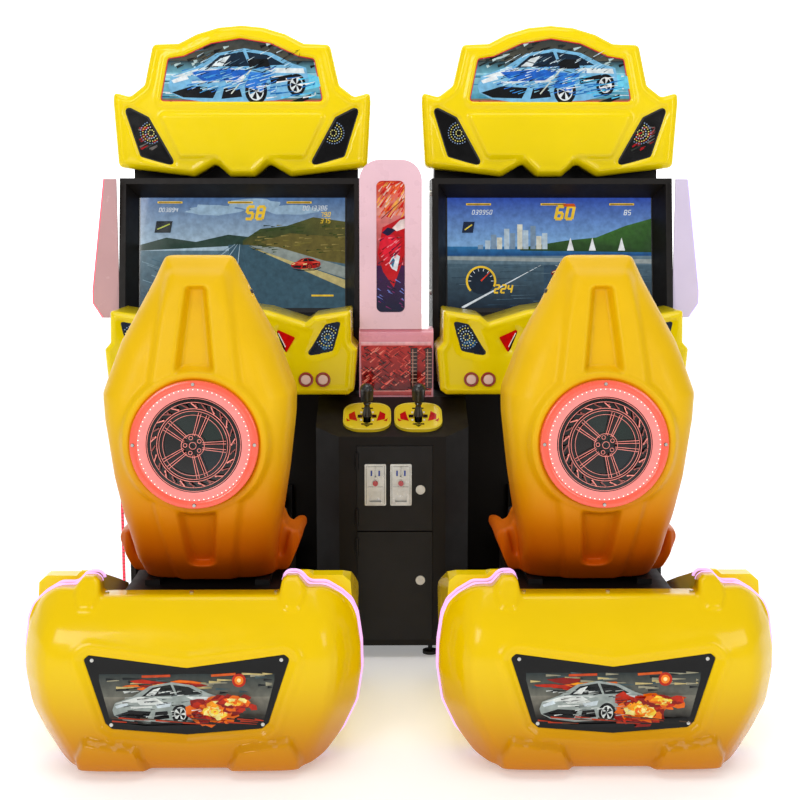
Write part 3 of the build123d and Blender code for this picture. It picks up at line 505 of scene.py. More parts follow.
def clipped(layers, shape):
    """The layers cut to a convex shape listed anticlockwise, with their colours carried along."""
    made = []
    for points, colour in layers:
        each = colour if isinstance(colour[0], (tuple, list)) else [colour] * len(points)
        run = [(*p, *c) for p, c in zip(points, each)]
        for (ax, ay), (bx, by) in zip(shape, shape[1:] + shape[:1]):
            far = [(bx - ax) * (p[1] - ay) - (by - ay) * (p[0] - ax) for p in run]
            cut = []
            for i, p in enumerate(run):
                q, fp, fq = run[i - 1], far[i], far[i - 1]
                if (fp >= 0) != (fq >= 0):
                    t = fq / (fq - fp)
                    cut.append(tuple(a + (b - a) * t for a, b in zip(q, p)))
                if fp >= 0:
                    cut.append(p)
            run = cut
            if len(run) < 3:
                break
        if len(run) >= 3:
            made.append(([p[:2] for p in run], [p[2:] for p in run]))
    return made


def oval(u, v, ru, rv=None, n=28, rough=0.0, start=0.0, end=math.tau):
    """An ellipse, an arc of one, or a ragged one."""
    rv = ru if rv is None else rv
    steps = n if end - start > 6.28 else n + 1
    return [(u + ru * math.cos(a) * w, v + rv * math.sin(a) * w)
            for a, w in ((start + (end - start) * k / n, 1 + rough * random.uniform(-1, 1))
                         for k in range(steps))]


def ring_shape(u, v, r, width, n=40, start=0.0, end=math.tau):
    """A flat arc as quads."""
    span = [start + (end - start) * k / n for k in range(n + 1)]
    return [[(u + q * math.cos(a), v + q * math.sin(a))
             for q, a in ((r - width, a0), (r, a0), (r, a1), (r - width, a1))]
            for a0, a1 in zip(span, span[1:])]


def block(u0, v0, u1, v1):
    """A rectangle from one corner to the opposite one."""
    return [(u0, v0), (u1, v0), (u1, v1), (u0, v1)]


def stroke(a, b, width, far_width=None):
    """A straight line as a quad."""
    far_width = width if far_width is None else far_width
    du, dv = b[0] - a[0], b[1] - a[1]
    n = math.hypot(du, dv)
    du, dv = du / n / 2, dv / n / 2
    return [(a[0] + dv * width, a[1] - du * width), (b[0] + dv * far_width, b[1] - du * far_width),
            (b[0] - dv * far_width, b[1] + du * far_width), (a[0] - dv * width, a[1] + du * width)]


SEGMENTS = {
    "a": ((0, 1), (.5, 1)), "b": ((.5, 1), (.5, .5)), "c": ((.5, .5), (.5, 0)), "d": ((0, 0), (.5, 0)),
    "e": ((0, .5), (0, 0)), "f": ((0, 1), (0, .5)), "g": ((0, .5), (.5, .5)),
}
DIGITS = dict(zip("0123456789", "abcdef bc abged abgcd fgbc afgcd afgedc abc abcdefg abcdfg".split()))


def digits(text, u, v, height, colour, weight=0.16):
    """Plain slanted numbers made of bars."""
    made = []
    for k, sign in enumerate(text):
        for part in DIGITS.get(sign, ""):
            a, b = (((x + 0.22 * y + 0.85 * k) * height + u, y * height + v) for x, y in SEGMENTS[part])
            made.append((stroke(a, b, weight * height), colour))
    return made


def car(u, v, s, paint, light, dark, glass, lamp):
    """A made-up low sports car from its front corner."""
    def at(points):
        return [(u + s * x, v + abs(s) * y) for x, y in points]
    layers = [
        (at([(-1.0, -.34), (-.4, -.42), (.6, -.40), (1.05, -.24), (1.05, -.30), (.6, -.47), (-.5, -.48)]),
         dark),
        (at([(-1, -.12), (-.95, .01), (-.62, .13), (-.30, .33), (.10, .40), (.48, .34), (.78, .19),
             (.98, .13), (1.02, -.06),
             (.92, -.24), (.55, -.33), (-.35, -.37), (-.80, -.31), (-.97, -.22)]), paint),
        (at([(-.94, .0), (-.55, .12), (-.38, .13), (-.55, .02)]), light),
        (at([(-.46, .13), (-.25, .30), (.08, .355), (.17, .15)]), glass),
        (at([(-.38, .15), (-.24, .26), (-.1, .30), (-.22, .15)]), light),
        (at([(.21, .15), (.13, .35), (.42, .31), (.68, .17)]), glass),
        (at([(-.62, .10), (-.10, .12), (.12, .11), (-.06, -.02), (-.48, -.03)]), light),
        (at([(-.20, .11), (.16, .10), (.44, -.06), (.06, -.06)]), paint),
        (at([(-.95, -.22), (-.66, -.13), (-.28, -.15), (-.36, -.30), (-.78, -.29)]), dark),
        (at([(-.20, -.16), (.02, -.14), (.06, -.28), (-.24, -.31)]), dark),
        (at([(-.95, -.05), (-.74, .035), (-.70, -.03), (-.92, -.09)]), lamp),
        (at([(-.20, -.02), (.10, .03), (.07, -.06), (-.16, -.09)]), lamp),
        (at([(.36, .13), (.94, .12), (.96, .05), (.50, .06)]), light),
        (at([(.46, -.02), (.78, .04), (.76, -.04), (.48, -.10)]), dark),
        (at([(-.66, -.06), (-.26, -.05), (-.26, -.075), (-.66, -.09)]), light),
    ]
    for wx, wy, r in ((.26, -.20, .185), (.84, -.11, .155)):
        layers.append((at(oval(wx, wy, r * 0.86, r, 24)), dark))
        layers.append((at(oval(wx, wy, r * .60, r * .72, 20)), light))
        for k in range(5):
            a = math.tau * k / 5 + .3
            layers.append((at([(wx, wy)] + oval(wx, wy, r * .52, r * .62, 3, 0, a, a + .75)), dark))
    return layers


def streaks(count, box, colours, length, width, slope=0.0):
    """Loose streaks of light within a box (u0, v0, u1, v1)."""
    made = []
    for _ in range(count):
        u, v = random.uniform(box[0], box[2]), random.uniform(box[1], box[3])
        run = length * random.uniform(0.4, 1.0)
        end = (min(max(u + run, box[0]), box[2]), min(max(v + run * slope, box[1]), box[3]))
        if abs(end[0] - u) + abs(end[1] - v) > 0.1 * length:
            made.append((stroke((u, v), end, width, width * .2), random.choice(colours)))
    return made


def flames(count, u, v, ru, rv):
    """Flakes of fire, dark red outside and yellow within."""
    made = []
    for k in range(count):
        t = 1 - k / count
        a, far = random.uniform(0, math.tau), random.uniform(0, t)
        size = random.uniform(.10, .26) * (0.5 + t)
        colour = random.choice([(.75, .16, .02), (.55, .08, .02), (.95, .42, .05)] if t > .5 else
                               [(1, .62, .08), (1, .85, .25), (.95, .40, .04), (1, .94, .55)])
        cu, cv = u + ru * far * math.cos(a), v + rv * far * math.sin(a)
        made.append((oval(cu, cv, ru * size, rv * size * 1.2, 7, 0.45), colour))
    return made


def gradient(box, bottom, top):
    """A rectangle (u0, v0, u1, v1) that changes colour from bottom to top."""
    return block(*box), [bottom, bottom, top, top]


def header_picture():
    """A blue car in streaks of cold light."""
    ice = [(.75, .95, 1), (.25, .60, .75), (.10, .32, .42), (.92, .98, 1)]
    night = [(.05, .06, .06), (.75, .85, .85), (.30, .36, .36), (.12, .16, .16)]
    spray = [(1, 1, 1), (.35, .80, .98), (.10, .45, .75)]
    bodywork = [(.88, .97, 1), (.18, .48, .86), (.60, .86, .96), (.04, .12, .24), (.30, .66, .92)]
    roof = [(.86, .94, .98), (.05, .09, .12), (.30, .42, .50), (.02, .04, .06)]
    layers = [gradient((-.30, 1.745, .30, 1.99), (.55, .50, .38), (.16, .20, .22)),
              gradient((-.30, 1.775, .30, 1.86), (.30, .62, .72), (.62, .86, .93)),
              gradient((-.30, 1.86, .30, 1.90), (.45, .72, .80), (.12, .16, .18))]
    layers += streaks(70, (-.29, 1.775, .29, 1.86), ice, .12, .004)
    layers += streaks(60, (-.26, 1.875, .28, 1.965), night, .035, .010, .35)
    layers += [(oval(.19, 1.828, .09, .030, 20, .12), (.45, .85, .98)),
               (oval(.16, 1.825, .06, .018, 20, .15), (.90, .98, 1))]
    layers += car(-.012, 1.846, .236, paint=(.50, .76, .92), light=(.93, .97, .98), dark=(.03, .05, .08),
                  glass=(.06, .16, .24), lamp=(.97, .99, 1))
    layers += [([(-.17, 1.862), (-.05, 1.872), (.03, 1.868), (-.02, 1.835), (-.13, 1.832)], (.13, .40, .80)),
               ([(.03, 1.862), (.10, 1.858), (.07, 1.800), (.01, 1.812)], (.20, .50, .88)),
               ([(.02, 1.905), (.09, 1.905), (.10, 1.875), (.03, 1.872)], (.02, .05, .07)),
               (stroke((-.035, 1.790), (.035, 1.872), .004), (.90, .92, .86)),
               (stroke((-.09, 1.900), (.075, 1.860), .0025), (.04, .05, .06))]
    layers += streaks(26, (.05, 1.775, .25, 1.85), spray, .07, .005, .15)
    layers += streaks(150, (-.20, 1.790, .12, 1.880), bodywork, .040, .0032, .30)
    layers += streaks(60, (-.16, 1.860, .20, 1.935), roof, .030, .0028, .55)
    return clipped(layers, whole(mm([(0, 1985), (106, 1968), (262, 1914), (288, 1758), (0, 1758)])))


def cover_picture():
    """A grey car on a road, with a ball of fire beside it."""
    skyline = [(.07, .10, .11), (.62, .60, .50), (.26, .34, .36), (.80, .72, .48)]
    bodywork = [(.90, .92, .90), (.30, .33, .34), (.66, .68, .66), (.10, .11, .12)]
    road = [(.70, .20, .05), (.30, .22, .16), (.09, .08, .07)]
    layers = [gradient((-.26, .105, .26, .315), (.03, .025, .02), (.05, .045, .04)),
              gradient((-.205, .15, .205, .205), (.13, .12, .11), (.50, .49, .44)),
              gradient((-.215, .205, .215, .262), (.42, .42, .38), (.16, .20, .20))]
    layers += streaks(50, (-.21, .215, .21, .262), skyline, .05, .006)
    layers += [(stroke((-.11, .256), (-.04, .258), .006), (.80, .28, .10)),
               (stroke((.06, .258), (.12, .262), .006), (.85, .35, .10)),
               (oval(.128, .246, .017, n=18), (.75, .16, .04)),
               (oval(.128, .246, .011, n=18), (1, .52, .12)),
               (oval(.128, .246, .005, n=12), (1, .92, .6))]
    layers += flames(60, -.05, .232, .13, .016)
    layers += car(-.050, .190, .132, paint=(.62, .66, .64), light=(.90, .92, .90), dark=(.07, .08, .09),
                  glass=(.10, .12, .12), lamp=(.85, .90, .92))
    layers += flames(230, .070, .172, .066, .040) + flames(110, .12, .195, .055, .022)
    layers += streaks(70, (-.17, .160, .04, .225), bodywork, .026, .0024, .12)
    layers += streaks(20, (-.19, .142, .20, .160), road, .08, .004, -.08)
    return clipped(layers, whole(mm([(0, 272), (222, 272), (186, 136), (0, 124)])))


def tower_picture():
    """A red helmet shape under a warm sky, for the lamp tower's window."""
    h = .21
    sky = [(.96, .45, .20), (.98, .80, .72), (.85, .12, .08), (.98, .68, .30)]
    red = [(.40, .02, .08), (.99, .55, .60), (.70, .05, .15), (.20, .06, .22)]
    ground = [(.14, .10, .34), (.50, .16, .40), (.04, .05, .16), (.45, .50, .80)]
    layers = [gradient((-.047, -h, .047, -.06), (.05, .05, .20), (.28, .10, .30)),
              gradient((-.047, -.06, .047, .10), (.62, .10, .18), (.90, .50, .48)),
              gradient((-.047, .10, .047, h), (.92, .62, .56), (.88, .20, .12))]
    layers += streaks(90, (-.045, .09, .045, h - .004), sky, .022, .005, 1.4)
    layers += [([(-.042, -.02), (-.026, .062), (.0, .075), (.047, .10), (.047, -.02), (.010, -.13),
                 (-.024, -.08)], (.78, .04, .10)),
               ([(-.028, .045), (-.010, .062), (.018, .055), (-.008, .034)], (.12, .08, .24)),
               ([(.005, .060), (.030, .085), (.047, .090), (.047, .060), (.020, .050)], (.97, .88, .86)),
               (stroke((-.030, .09), (.044, .155), .0025), (.45, .05, .10)),
               ([(-.038, .0), (-.030, .030), (.008, .040), (.034, .010), (.030, -.03), (-.012, -.045)],
                (.90, .10, .20)),
               ([(-.006, -.052), (.012, -.020), (.030, -.030), (.020, -.078), (.004, -.070)],
                (.95, .96, .98)),
               ([(-.002, -.052), (.008, -.035), (.014, -.042), (.008, -.066)], (.20, .45, .60))]
    layers += streaks(40, (-.040, -.06, .040, .03), red, .02, .004, .8)
    layers += streaks(24, (-.044, -.20, .044, -.10), ground, .02, .004, -.6)
    return clipped(layers, rounded(block(-.0455, -.2095, .0455, .2095), .018))


SCREEN_W, SCREEN_H = .349, .1965        # half the width and half the height of a screen's picture
WHITE, GOLD, BROWN = (.92, .95, .97), (1, .82, .22), (.45, .30, .05)


def title_bars(places, v):
    """Plain gold bars, each with a brown line, where a screen shows headings."""
    made = []
    for u in places:
        made.append((stroke((u, v), (u + .085, v), .007), GOLD))
        made.append((stroke((u + .004, v - .0005), (u + .080, v - .0005), .0025), BROWN))
    return made


def country_road():
    """The left screen: a road between lawns and hills."""
    w, h = SCREEN_W, SCREEN_H
    tarmac = [(.26, .38, .46), (.46, .58, .64), (.18, .28, .34)]
    scrub = [(.20, .28, .10), (.50, .46, .22), (.12, .20, .08), (.60, .54, .30)]
    layers = [gradient((-w, -.02, w, h), (.72, .82, .88), (.24, .40, .62)),
              gradient((-w, -h, w, -.0), (.16, .27, .33), (.36, .48, .54))]
    layers += [(oval(-.1 + .13 * k, .14 + .02 * (k % 2), .09, .018, 18, .2), (.62, .74, .84))
               for k in range(3)]
    layers += [([(-w, .02), (-.26, .045), (-.16, .03), (-.05, .055), (.04, .045), (.04, .02), (-w, .0)],
                (.16, .26, .22)),
               ([(.0, .035), (.06, .075), (.15, .085), (.24, .115), (w, .10), (w, -.04), (.10, -.005),
                 (.0, .015)], [(.24, .30, .16)] * 3 + [(.36, .36, .18)] * 2 + [(.34, .32, .14)] * 3),
               ([(.06, .03), (.16, .06), (w, .045), (w, -.045), (.18, -.02)], (.42, .38, .18)),
               ([(-.02, .020), (.12, .012), (w, -.055), (w, -.095), (.12, -.020)], (.58, .62, .60)),
               ([(-.05, .020), (.02, .020), (w, -.13), (w, -h), (-.02, -h)], (.24, .36, .42)),
               ([(.02, .015), (w, -.10), (w, -.13)], (.78, .72, .48))]
    for k in range(7):
        foot = (-.30 + .055 * k) * 1.25
        colour = (.70, .80, .86) if k % 2 else (.26, .38, .45)
        layers.append((stroke((-.03 + .004 * k, .022), (foot, -h), .0012, .007), colour))
    layers += streaks(60, (-w, -.18, -.02, -.01), tarmac, .10, .003, -.35)
    layers += streaks(70, (.03, -.01, w, .09), scrub, .03, .004, .05)
    layers += car(.215, -.045, .050, paint=(.72, .07, .05), light=(.98, .35, .25), dark=(.10, .02, .02),
                  glass=(.05, .05, .06), lamp=(1, .9, .6))
    layers += [(oval(-.19, .135, .001), WHITE)]
    layers += digits("58", .01, .108, .042, GOLD, .24)
    for k, line in enumerate(("0013386", "790", "375")):
        layers += digits(line, .31 - .0150 * len(line), .138 - .022 * k, .0145, GOLD if k else WHITE, .15)
    layers += digits("003894", -.285, .132, .013, WHITE, .15)
    layers += title_bars((-.29, -.05, .15), .164)
    layers += [([(-.30, .060), (-.245, .060), (-.238, .100), (-.293, .100)], (.10, .14, .16)),
               (stroke((-.29, .072), (-.248, .090), .004), (.75, .80, .30)),
               (stroke((.235, -.155), (.31, -.155), .006), GOLD)]
    return layers


def coast_road():
    """The right screen: a road along a bay, with towers, sails and a round gauge."""
    w, h = SCREEN_W, SCREEN_H
    tarmac = [(.20, .30, .38), (.36, .46, .52), (.14, .22, .28)]
    walls = ((.72, .80, .86), (.50, .60, .70), (.86, .86, .80))
    towers = ((-.22, .035), (-.20, .055), (-.18, .045), (-.155, .075), (-.135, .06), (-.11, .09), (-.09, .07),
              (-.065, .085), (-.045, .05), (-.025, .06), (-.245, .02))
    layers = [gradient((-w, -.01, w, h), (.55, .74, .92), (.05, .22, .66)),
              gradient((-w, -h, w, .0), (.20, .30, .36), (.42, .52, .58)),
              gradient((-w, -.018, w, .014), (.10, .30, .52), (.20, .48, .70)),
              ([(-.10, .01), (-.02, .022), (.06, .035), (.16, .045), (.26, .085), (w, .11), (w, -.006),
                (-.1, .0)], [(.20, .34, .16)] * 3 + [(.24, .42, .18)] * 3 + [(.14, .26, .12)] * 2)]
    layers += [(block(u, .005, u + .018, top), walls[k % 3]) for k, (u, top) in enumerate(towers)]
    layers += [([(u, .0), (u + .024, .0), (u + .012, .045)], (.96, .97, .98)) for u in (.06, .135, .235)]
    layers += [([(-w, -.02), (w, -.03), (w, -.045), (-w, -.032)], (.62, .66, .66)),
               ([(-w, -.045), (w, -.05), (w, -h), (-w, -h)], [(.30, .40, .46)] * 2 + [(.10, .16, .22)] * 2),
               ([(-.02, -.050), (.02, -.050), (.20, -h), (-.02, -h)], (.22, .32, .40)),
               (stroke((.02, -.05), (.30, -h), .001, .008), WHITE),
               (stroke((-.03, -.05), (-.30, -h), .001, .008), WHITE)]
    layers += streaks(80, (-w, -.19, w, -.05), tarmac, .09, .002, .03)
    layers += car(.055, -.072, .050, paint=(.50, .05, .05), light=(.85, .30, .25), dark=(.06, .02, .02),
                  glass=(.04, .04, .05), lamp=(1, .9, .6))
    u, v = -.235, -.105
    layers += [(q, GOLD) for q in ring_shape(u, v, .052, .007, 24, -.4, 3.9)]
    layers += [(oval(u, v, .045), (.10, .16, .22)), (stroke((u, v), (-.205, -.075), .005, .002),
                                                     (.95, .25, .12))]
    for a in (math.pi * k / 7 for k in range(8)):
        inner, outer = ((u + r * math.cos(a), v + r * math.sin(a)) for r in (.034, .043))
        layers.append((stroke(inner, outer, .002), WHITE))
    layers += digits("224", -.19, -.145, .026, GOLD, .22) + digits("60", .02, .108, .042, GOLD, .24)
    layers += digits("85", .255, .122, .016, WHITE, .16) + digits("039950", -.265, .124, .014, WHITE, .15)
    layers += title_bars((-.285, -.03, .205), .158)
    layers += [([(-.30, .060), (-.262, .060), (-.256, .098), (-.294, .098)], (.10, .16, .26)),
               (stroke((-.29, .070), (-.265, .088), .004), (.95, .85, .30)),
               ([(.05, .150), (.09, .150), (.085, .160), (.045, .160)], (.85, .35, .10))]
    return layers


def screen_picture(side):
    """A country road on the left machine, a coast road on the right one."""
    layers = country_road() if side < 0 else coast_road()
    return clipped(layers, block(-SCREEN_W, -SCREEN_H, SCREEN_W, SCREEN_H))


# ---------------------------------------------------------------- yellow mouldings
def mm(points):
    """Points in millimetres, in metres."""
    return [(x / 1000, z / 1000) for x, z in points]


HEADER = rounded(whole(mm([
    (0, 2019), (75, 2012), (150, 1990), (211, 1959), (300, 1956), (331, 1820), (380, 1782), (436, 1797),
    (438, 1760),
    (425, 1545), (165, 1512), (92, 1556), (42, 1512)])), 0.022)
HEADER_WINDOW = rounded(whole(mm([(0, 1973), (100, 1957), (193, 1915), (247, 1906), (275, 1766), (0, 1766)])),
                        0.012)
HEADER_SPEAKER = rounded(mm([(392, 1742), (322, 1707), (237, 1555), (342, 1586)]), 0.008)
BROW = rounded(mm([(-290, 1728), (290, 1728), (216, 1574), (-216, 1574)]), 0.02)
LOBE = rounded(mm([(-105, 1604), (105, 1604), (42, 1500), (-42, 1500)]), 0.01)
DASH = rounded(whole(mm([
    (0, 1100), (115, 1084), (236, 1046), (262, 1066), (378, 1084), (380, 982), (398, 961), (387, 830),
    (368, 816), (0, 816)])), 0.010)
DASH_SPEAKER = rounded(mm([(302, 1038), (343, 1047), (318, 960), (247, 945)]), 0.006)
GAUGE = rounded(mm([(146, 1020), (196, 997), (173, 958)]), 0.003)
COVER_CORNERS = whole(mm([
    (0, 437), (222, 437), (228, 470), (240, 480), (268, 480), (292, 452), (336, 452), (374, 429), (400, 405),
    (414, 370),
    (424, 300), (426, 235), (413, 150), (379, 78), (334, 24), (300, 15), (0, 15)]))
COVER_OUTLINE = rounded(COVER_CORNERS, [0.10 if abs(x) > 0.33 else 0.012 for x, z in COVER_CORNERS])
COVER_SIDE = whole(mm([
    (0, 500), (270, 500), (330, 470), (386, 418), (414, 356), (426, 290), (426, 235), (413, 150), (379, 78),
    (336, 0),
    (306, -300), (0, -300)]))
COVER_SIDE = rounded(COVER_SIDE, 0.14)
COVER_HEIGHTS = (0.015, 0.030, 0.080, 0.130, 0.300, 0.350, 0.395, 0.437, 0.485, 0.500)
COVER_DEPTHS = (-0.815, -0.835, -0.842, -0.842, -0.828, -0.815, -0.790, -0.752, -0.713, -0.702)
COVER_REAR = soft(COVER_HEIGHTS, COVER_DEPTHS, 0.045)
COVER_FLANK = soft((0, 0.004, 0.012, 0.022, 0.036, 0.055, 0.080, 0.115, 0.16),
                   (-0.700, -0.716, -0.732, -0.750, -0.774, -0.804, -0.834, -0.858, -0.880), 0.004)
COVER_WINDOW = rounded(whole(mm([(0, 276), (240, 308), (252, 298), (200, 140), (184, 126), (0, 112)])), 0.008)
FOOT_BUMP = rounded(mm([(92, 8), (120, 84), (256, 104), (282, 50), (282, 8)]), 0.014)
HORN = rounded(mm([(226, 510), (226, 440), (238, 412), (272, 412), (286, 440), (276, 510)]), 0.01)


def mirrored(loop):
    """The outline on the other side of the middle plane."""
    return [(-x, z) for x, z in loop][::-1]


def header_depth(x, z, d, holes):
    """Y of a header's front: a raised brow, a lobe below and hollows round its holes."""
    y = HEADER_Y + 0.001 + edge_round(d, 0.022) - 0.003 * np.exp(-((d - 0.020) / 0.008) ** 2)
    raised = np.maximum(ease(signed(x, z, BROW), -0.004, 0.012), ease(signed(x, z, LOBE), -0.004, 0.010))
    y = y - 0.008 * raised
    y = y + edge_round(holes[0], 0.005) - 0.004 * np.exp(-((holes[0] - 0.012) / 0.008) ** 2)
    for gap in holes[1:]:
        y = y + 0.006 * (1 - ease(gap, 0.006, 0.018)) + edge_round(gap, 0.003)
    return y


def dash_depth(x, z, d, holes):
    """Y of a dashboard's front."""
    y = DASH_Y + 0.001 + edge_round(d, 0.018) - 0.003 * np.exp(-((d - 0.016) / 0.007) ** 2)
    y = y + 0.006 * ease(np.abs(x), 0.12, 0.20) * (1 - ease(np.abs(x), 0.20, 0.26)) * ease(z, 0.90, 0.96)
    for gap in holes:
        y = y + 0.004 * (1 - ease(gap, 0.004, 0.014)) + edge_round(gap, 0.003)
    return y


def cover_depth(x, z, d, holes):
    """Y of a rear cover: its rear and flank curves blended, with feet and horns raised."""
    out = np.maximum(signed(x, z, COVER_SIDE), 0)
    side = np.interp(out, *COVER_FLANK)
    rear = np.interp(z, *COVER_REAR)
    k = 0.020
    y = np.maximum(rear, side) + k * np.log1p(np.exp(-np.abs(rear - side) / k)) - 0.010
    for bump in (FOOT_BUMP, mirrored(FOOT_BUMP)):
        y = y - 0.024 * ease(signed(x, z, bump), -0.004, 0.013)
    for horn in (HORN, mirrored(HORN)):
        y = y - 0.010 * ease(signed(x, z, horn), -0.008, 0.008)
    y = y + 0.004 * (1 - ease(holes[0], 0.004, 0.016)) + edge_round(holes[0], 0.004)
    y = y - 0.004 * np.exp(-((holes[0] - 0.026) / 0.010) ** 2)
    return np.clip(y + edge_round(d, 0.006), -0.876, COVER_FRONT - 0.002)


def make_mouldings():
    """The yellow headers, dashboards and rear covers, as relief skins with a wall."""
    for name, side in SIDES.items():
        jobs = (
            ("header_moulding", HEADER, header_depth, HEADER_BACK,
             (HEADER_WINDOW, HEADER_SPEAKER, mirrored(HEADER_SPEAKER)),
             YELLOW, "header_shell", 0.007),
            ("dash_moulding", DASH, dash_depth, DASH_BACK,
             (DASH_SPEAKER, mirrored(DASH_SPEAKER), GAUGE, mirrored(GAUGE)),
             YELLOW, "dash_shell", 0.007),
            ("rear_moulding", COVER_OUTLINE, cover_depth, COVER_FRONT, (COVER_WINDOW,),
             COVER, "rear_cover", 0.0065),
        )
        for title, outline, depth, back, holes, finish, node, step in jobs:
            verts, faces = shell_mesh(outline, depth, back, step, holes)
            piece = mesh_piece(f"{name}_{title}", placed(verts, side), facing(faces, side), finish, sharp=48)
            thicken(piece, 0.0035)
            apply_all(piece)
            ride_as(piece, "frame", "yellow_gloss", f"{name}_{node}")


# ---------------------------------------------------------------- pictures, speakers, gauges
# Coloured dots in four rings, as (points, colour), for a speaker's grille
SPEAKER_DOTS = [(oval(r * math.cos(a), r * math.sin(a), .0021, n=8), c)
                for r, n, c in ((.010, 8, (.95, .92, .55)), (.019, 14, (.75, .85, .95)),
                                (.028, 20, (.95, .90, .45)), (.036, 26, (.55, .65, .80)))
                for a in (math.tau * k / n + r * 40 for k in range(n))]


def print_panels(name, side, lit, dark, glass):
    """The pictures of one machine's header, rear cover and screen."""
    cx = centre_of(side)
    panel = front_of("picture_panels", REARWARD, (cx - 0.4, 0.5, 1.7), (cx + 0.4, 0.8, 2.1))[0]
    place = Vector((cx, panel.y - 0.0004, 0))
    painting(f"{name}_header_picture", header_picture(), place, EAST, UP, lit, "frame", "printed_panel")
    low, high = (cx - 0.3, -1, 0.05), (cx + 0.3, -0.5, 0.4)
    middle, normal, across, rise = front_of("picture_panels", REARWARD, low, high)
    start = middle - rise * 0.210 + normal * 0.0006
    plate = [(COVER_WINDOW, (.025, .02, .02))] + cover_picture()
    painting(f"{name}_cover_picture", plate, start, across, rise, dark, "frame", "printed_panel")
    low, high = (cx - 0.4, 0, 1.0), (cx + 0.4, 0.9, 1.55)
    middle, normal, across, rise = front_of("monitors", (0, -1, 0.1), low, high)
    layers = [(block(-.3495, -.1970, .3495, .1970), (.02, .03, .04))] + screen_picture(side)
    painting(f"{name}_screen_picture", layers, middle + normal * 0.0004, across, rise, glass,
             "frame", "screen", lift=0.00003)


def print_grille(name, side, way, title, middle, y, outline, dark):
    """A dark speaker front with its coloured dots, and loose streaks where the photograph shows a print."""
    u, z = way * middle[0], middle[1]
    area = [(way * a, b) for a, b in outline]
    area = [((a - u) * 1.07 + u, (b - z) * 1.05 + z) for a, b in area]
    layers = [(area, (.03, .02, .03) if title == "header" else (.05, .12, .20))]
    spread = []
    if title == "header" and way * side > 0:
        embers = [(.70, .05, .08), (.45, .42, .40), (.20, .22, .20), (.55, .10, .10)]
        spread = streaks(46, (-.045, -.060, .050, .02), embers, .035, .006, .5)
    elif title == "dash":
        blues = [(.10, .30, .48), (.08, .22, .36), (.16, .40, .56)]
        spread = streaks(26, (-.035, -.040, .030, .01), blues, .03, .008, .8)
    for points, colour in spread + SPEAKER_DOTS:
        moved = [(a + u, b + z) for a, b in points]
        at = np.array(moved)
        if signed(at[:, 0], at[:, 1], area).min() > 0.001:
            layers.append((moved, colour))
    end = "in" if way * side < 0 else "out"
    place = Vector((centre_of(side), y, 0))
    painting(f"{name}_{title}_grille_{end}", layers, place, EAST, UP, dark, "frame", "speaker_black")


def print_gauge(name, side, way, lit):
    """A red three-cornered gauge with a needle."""
    u, z = way * .171, .992
    grown = [((way * a - u) * 1.25 + u, (b - z) * 1.25 + z) for a, b in GAUGE]
    wedge = [(way * a, b) for a, b in mm([(140, 1026), (166, 962), (174, 950), (160, 998)])]
    needle = stroke((way * .150, 1.012), (way * .172, .968), .003)
    layers = [(grown, (.80, .05, .06)), (wedge, (.05, .03, .03)), (needle, (.95, .90, .85))]
    place = Vector((centre_of(side), DASH_Y + 0.0085, 0))
    painting(f"{name}_gauge_{'in' if way * side < 0 else 'out'}", layers, place, EAST, UP, lit,
             "frame", "printed_panel")


def make_pictures():
    """All prints on the headers, rear covers, screens, speakers, gauges and the tower."""
    lit = paint_finish("lit_print", 0.50, 0.18, 0.4, 0.35)
    glass = paint_finish("screen_glow", 0.62, 0.12, 0.4, 0.15)
    dark = paint_finish("dark_print", 0.25, 0.20, 0.12, 0.6)
    red_line = dict(name="red_line", colour=(0.62, 0.02, 0.03), rough=0.3)
    for name, side in SIDES.items():
        print_panels(name, side, lit, dark, glass)
        for way in (-1, 1):
            print_grille(name, side, way, "header", (.310, 1.660), HEADER_Y + 0.0058, HEADER_SPEAKER, dark)
            print_grille(name, side, way, "dash", (.305, 1.000), DASH_Y + 0.0058, DASH_SPEAKER, dark)
        for way in (-1, 1):
            print_gauge(name, side, way, lit)
        line = [(centre_of(side) + x, HEADER_Y + 0.0035, z) for x, z in finer(HEADER_WINDOW, 0.02)]
        ride_as(tube(f"{name}_window_line", [line], 0.0022, red_line), "frame", "yellow_gloss")
    low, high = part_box("lamp_tower")
    start = Vector(((low.x + high.x) / 2, low.y + 0.0152, (low.z + high.z) / 2 - 0.006))
    painting("tower_picture", tower_picture(), start, EAST, UP, lit, "frame", "pink_lens")


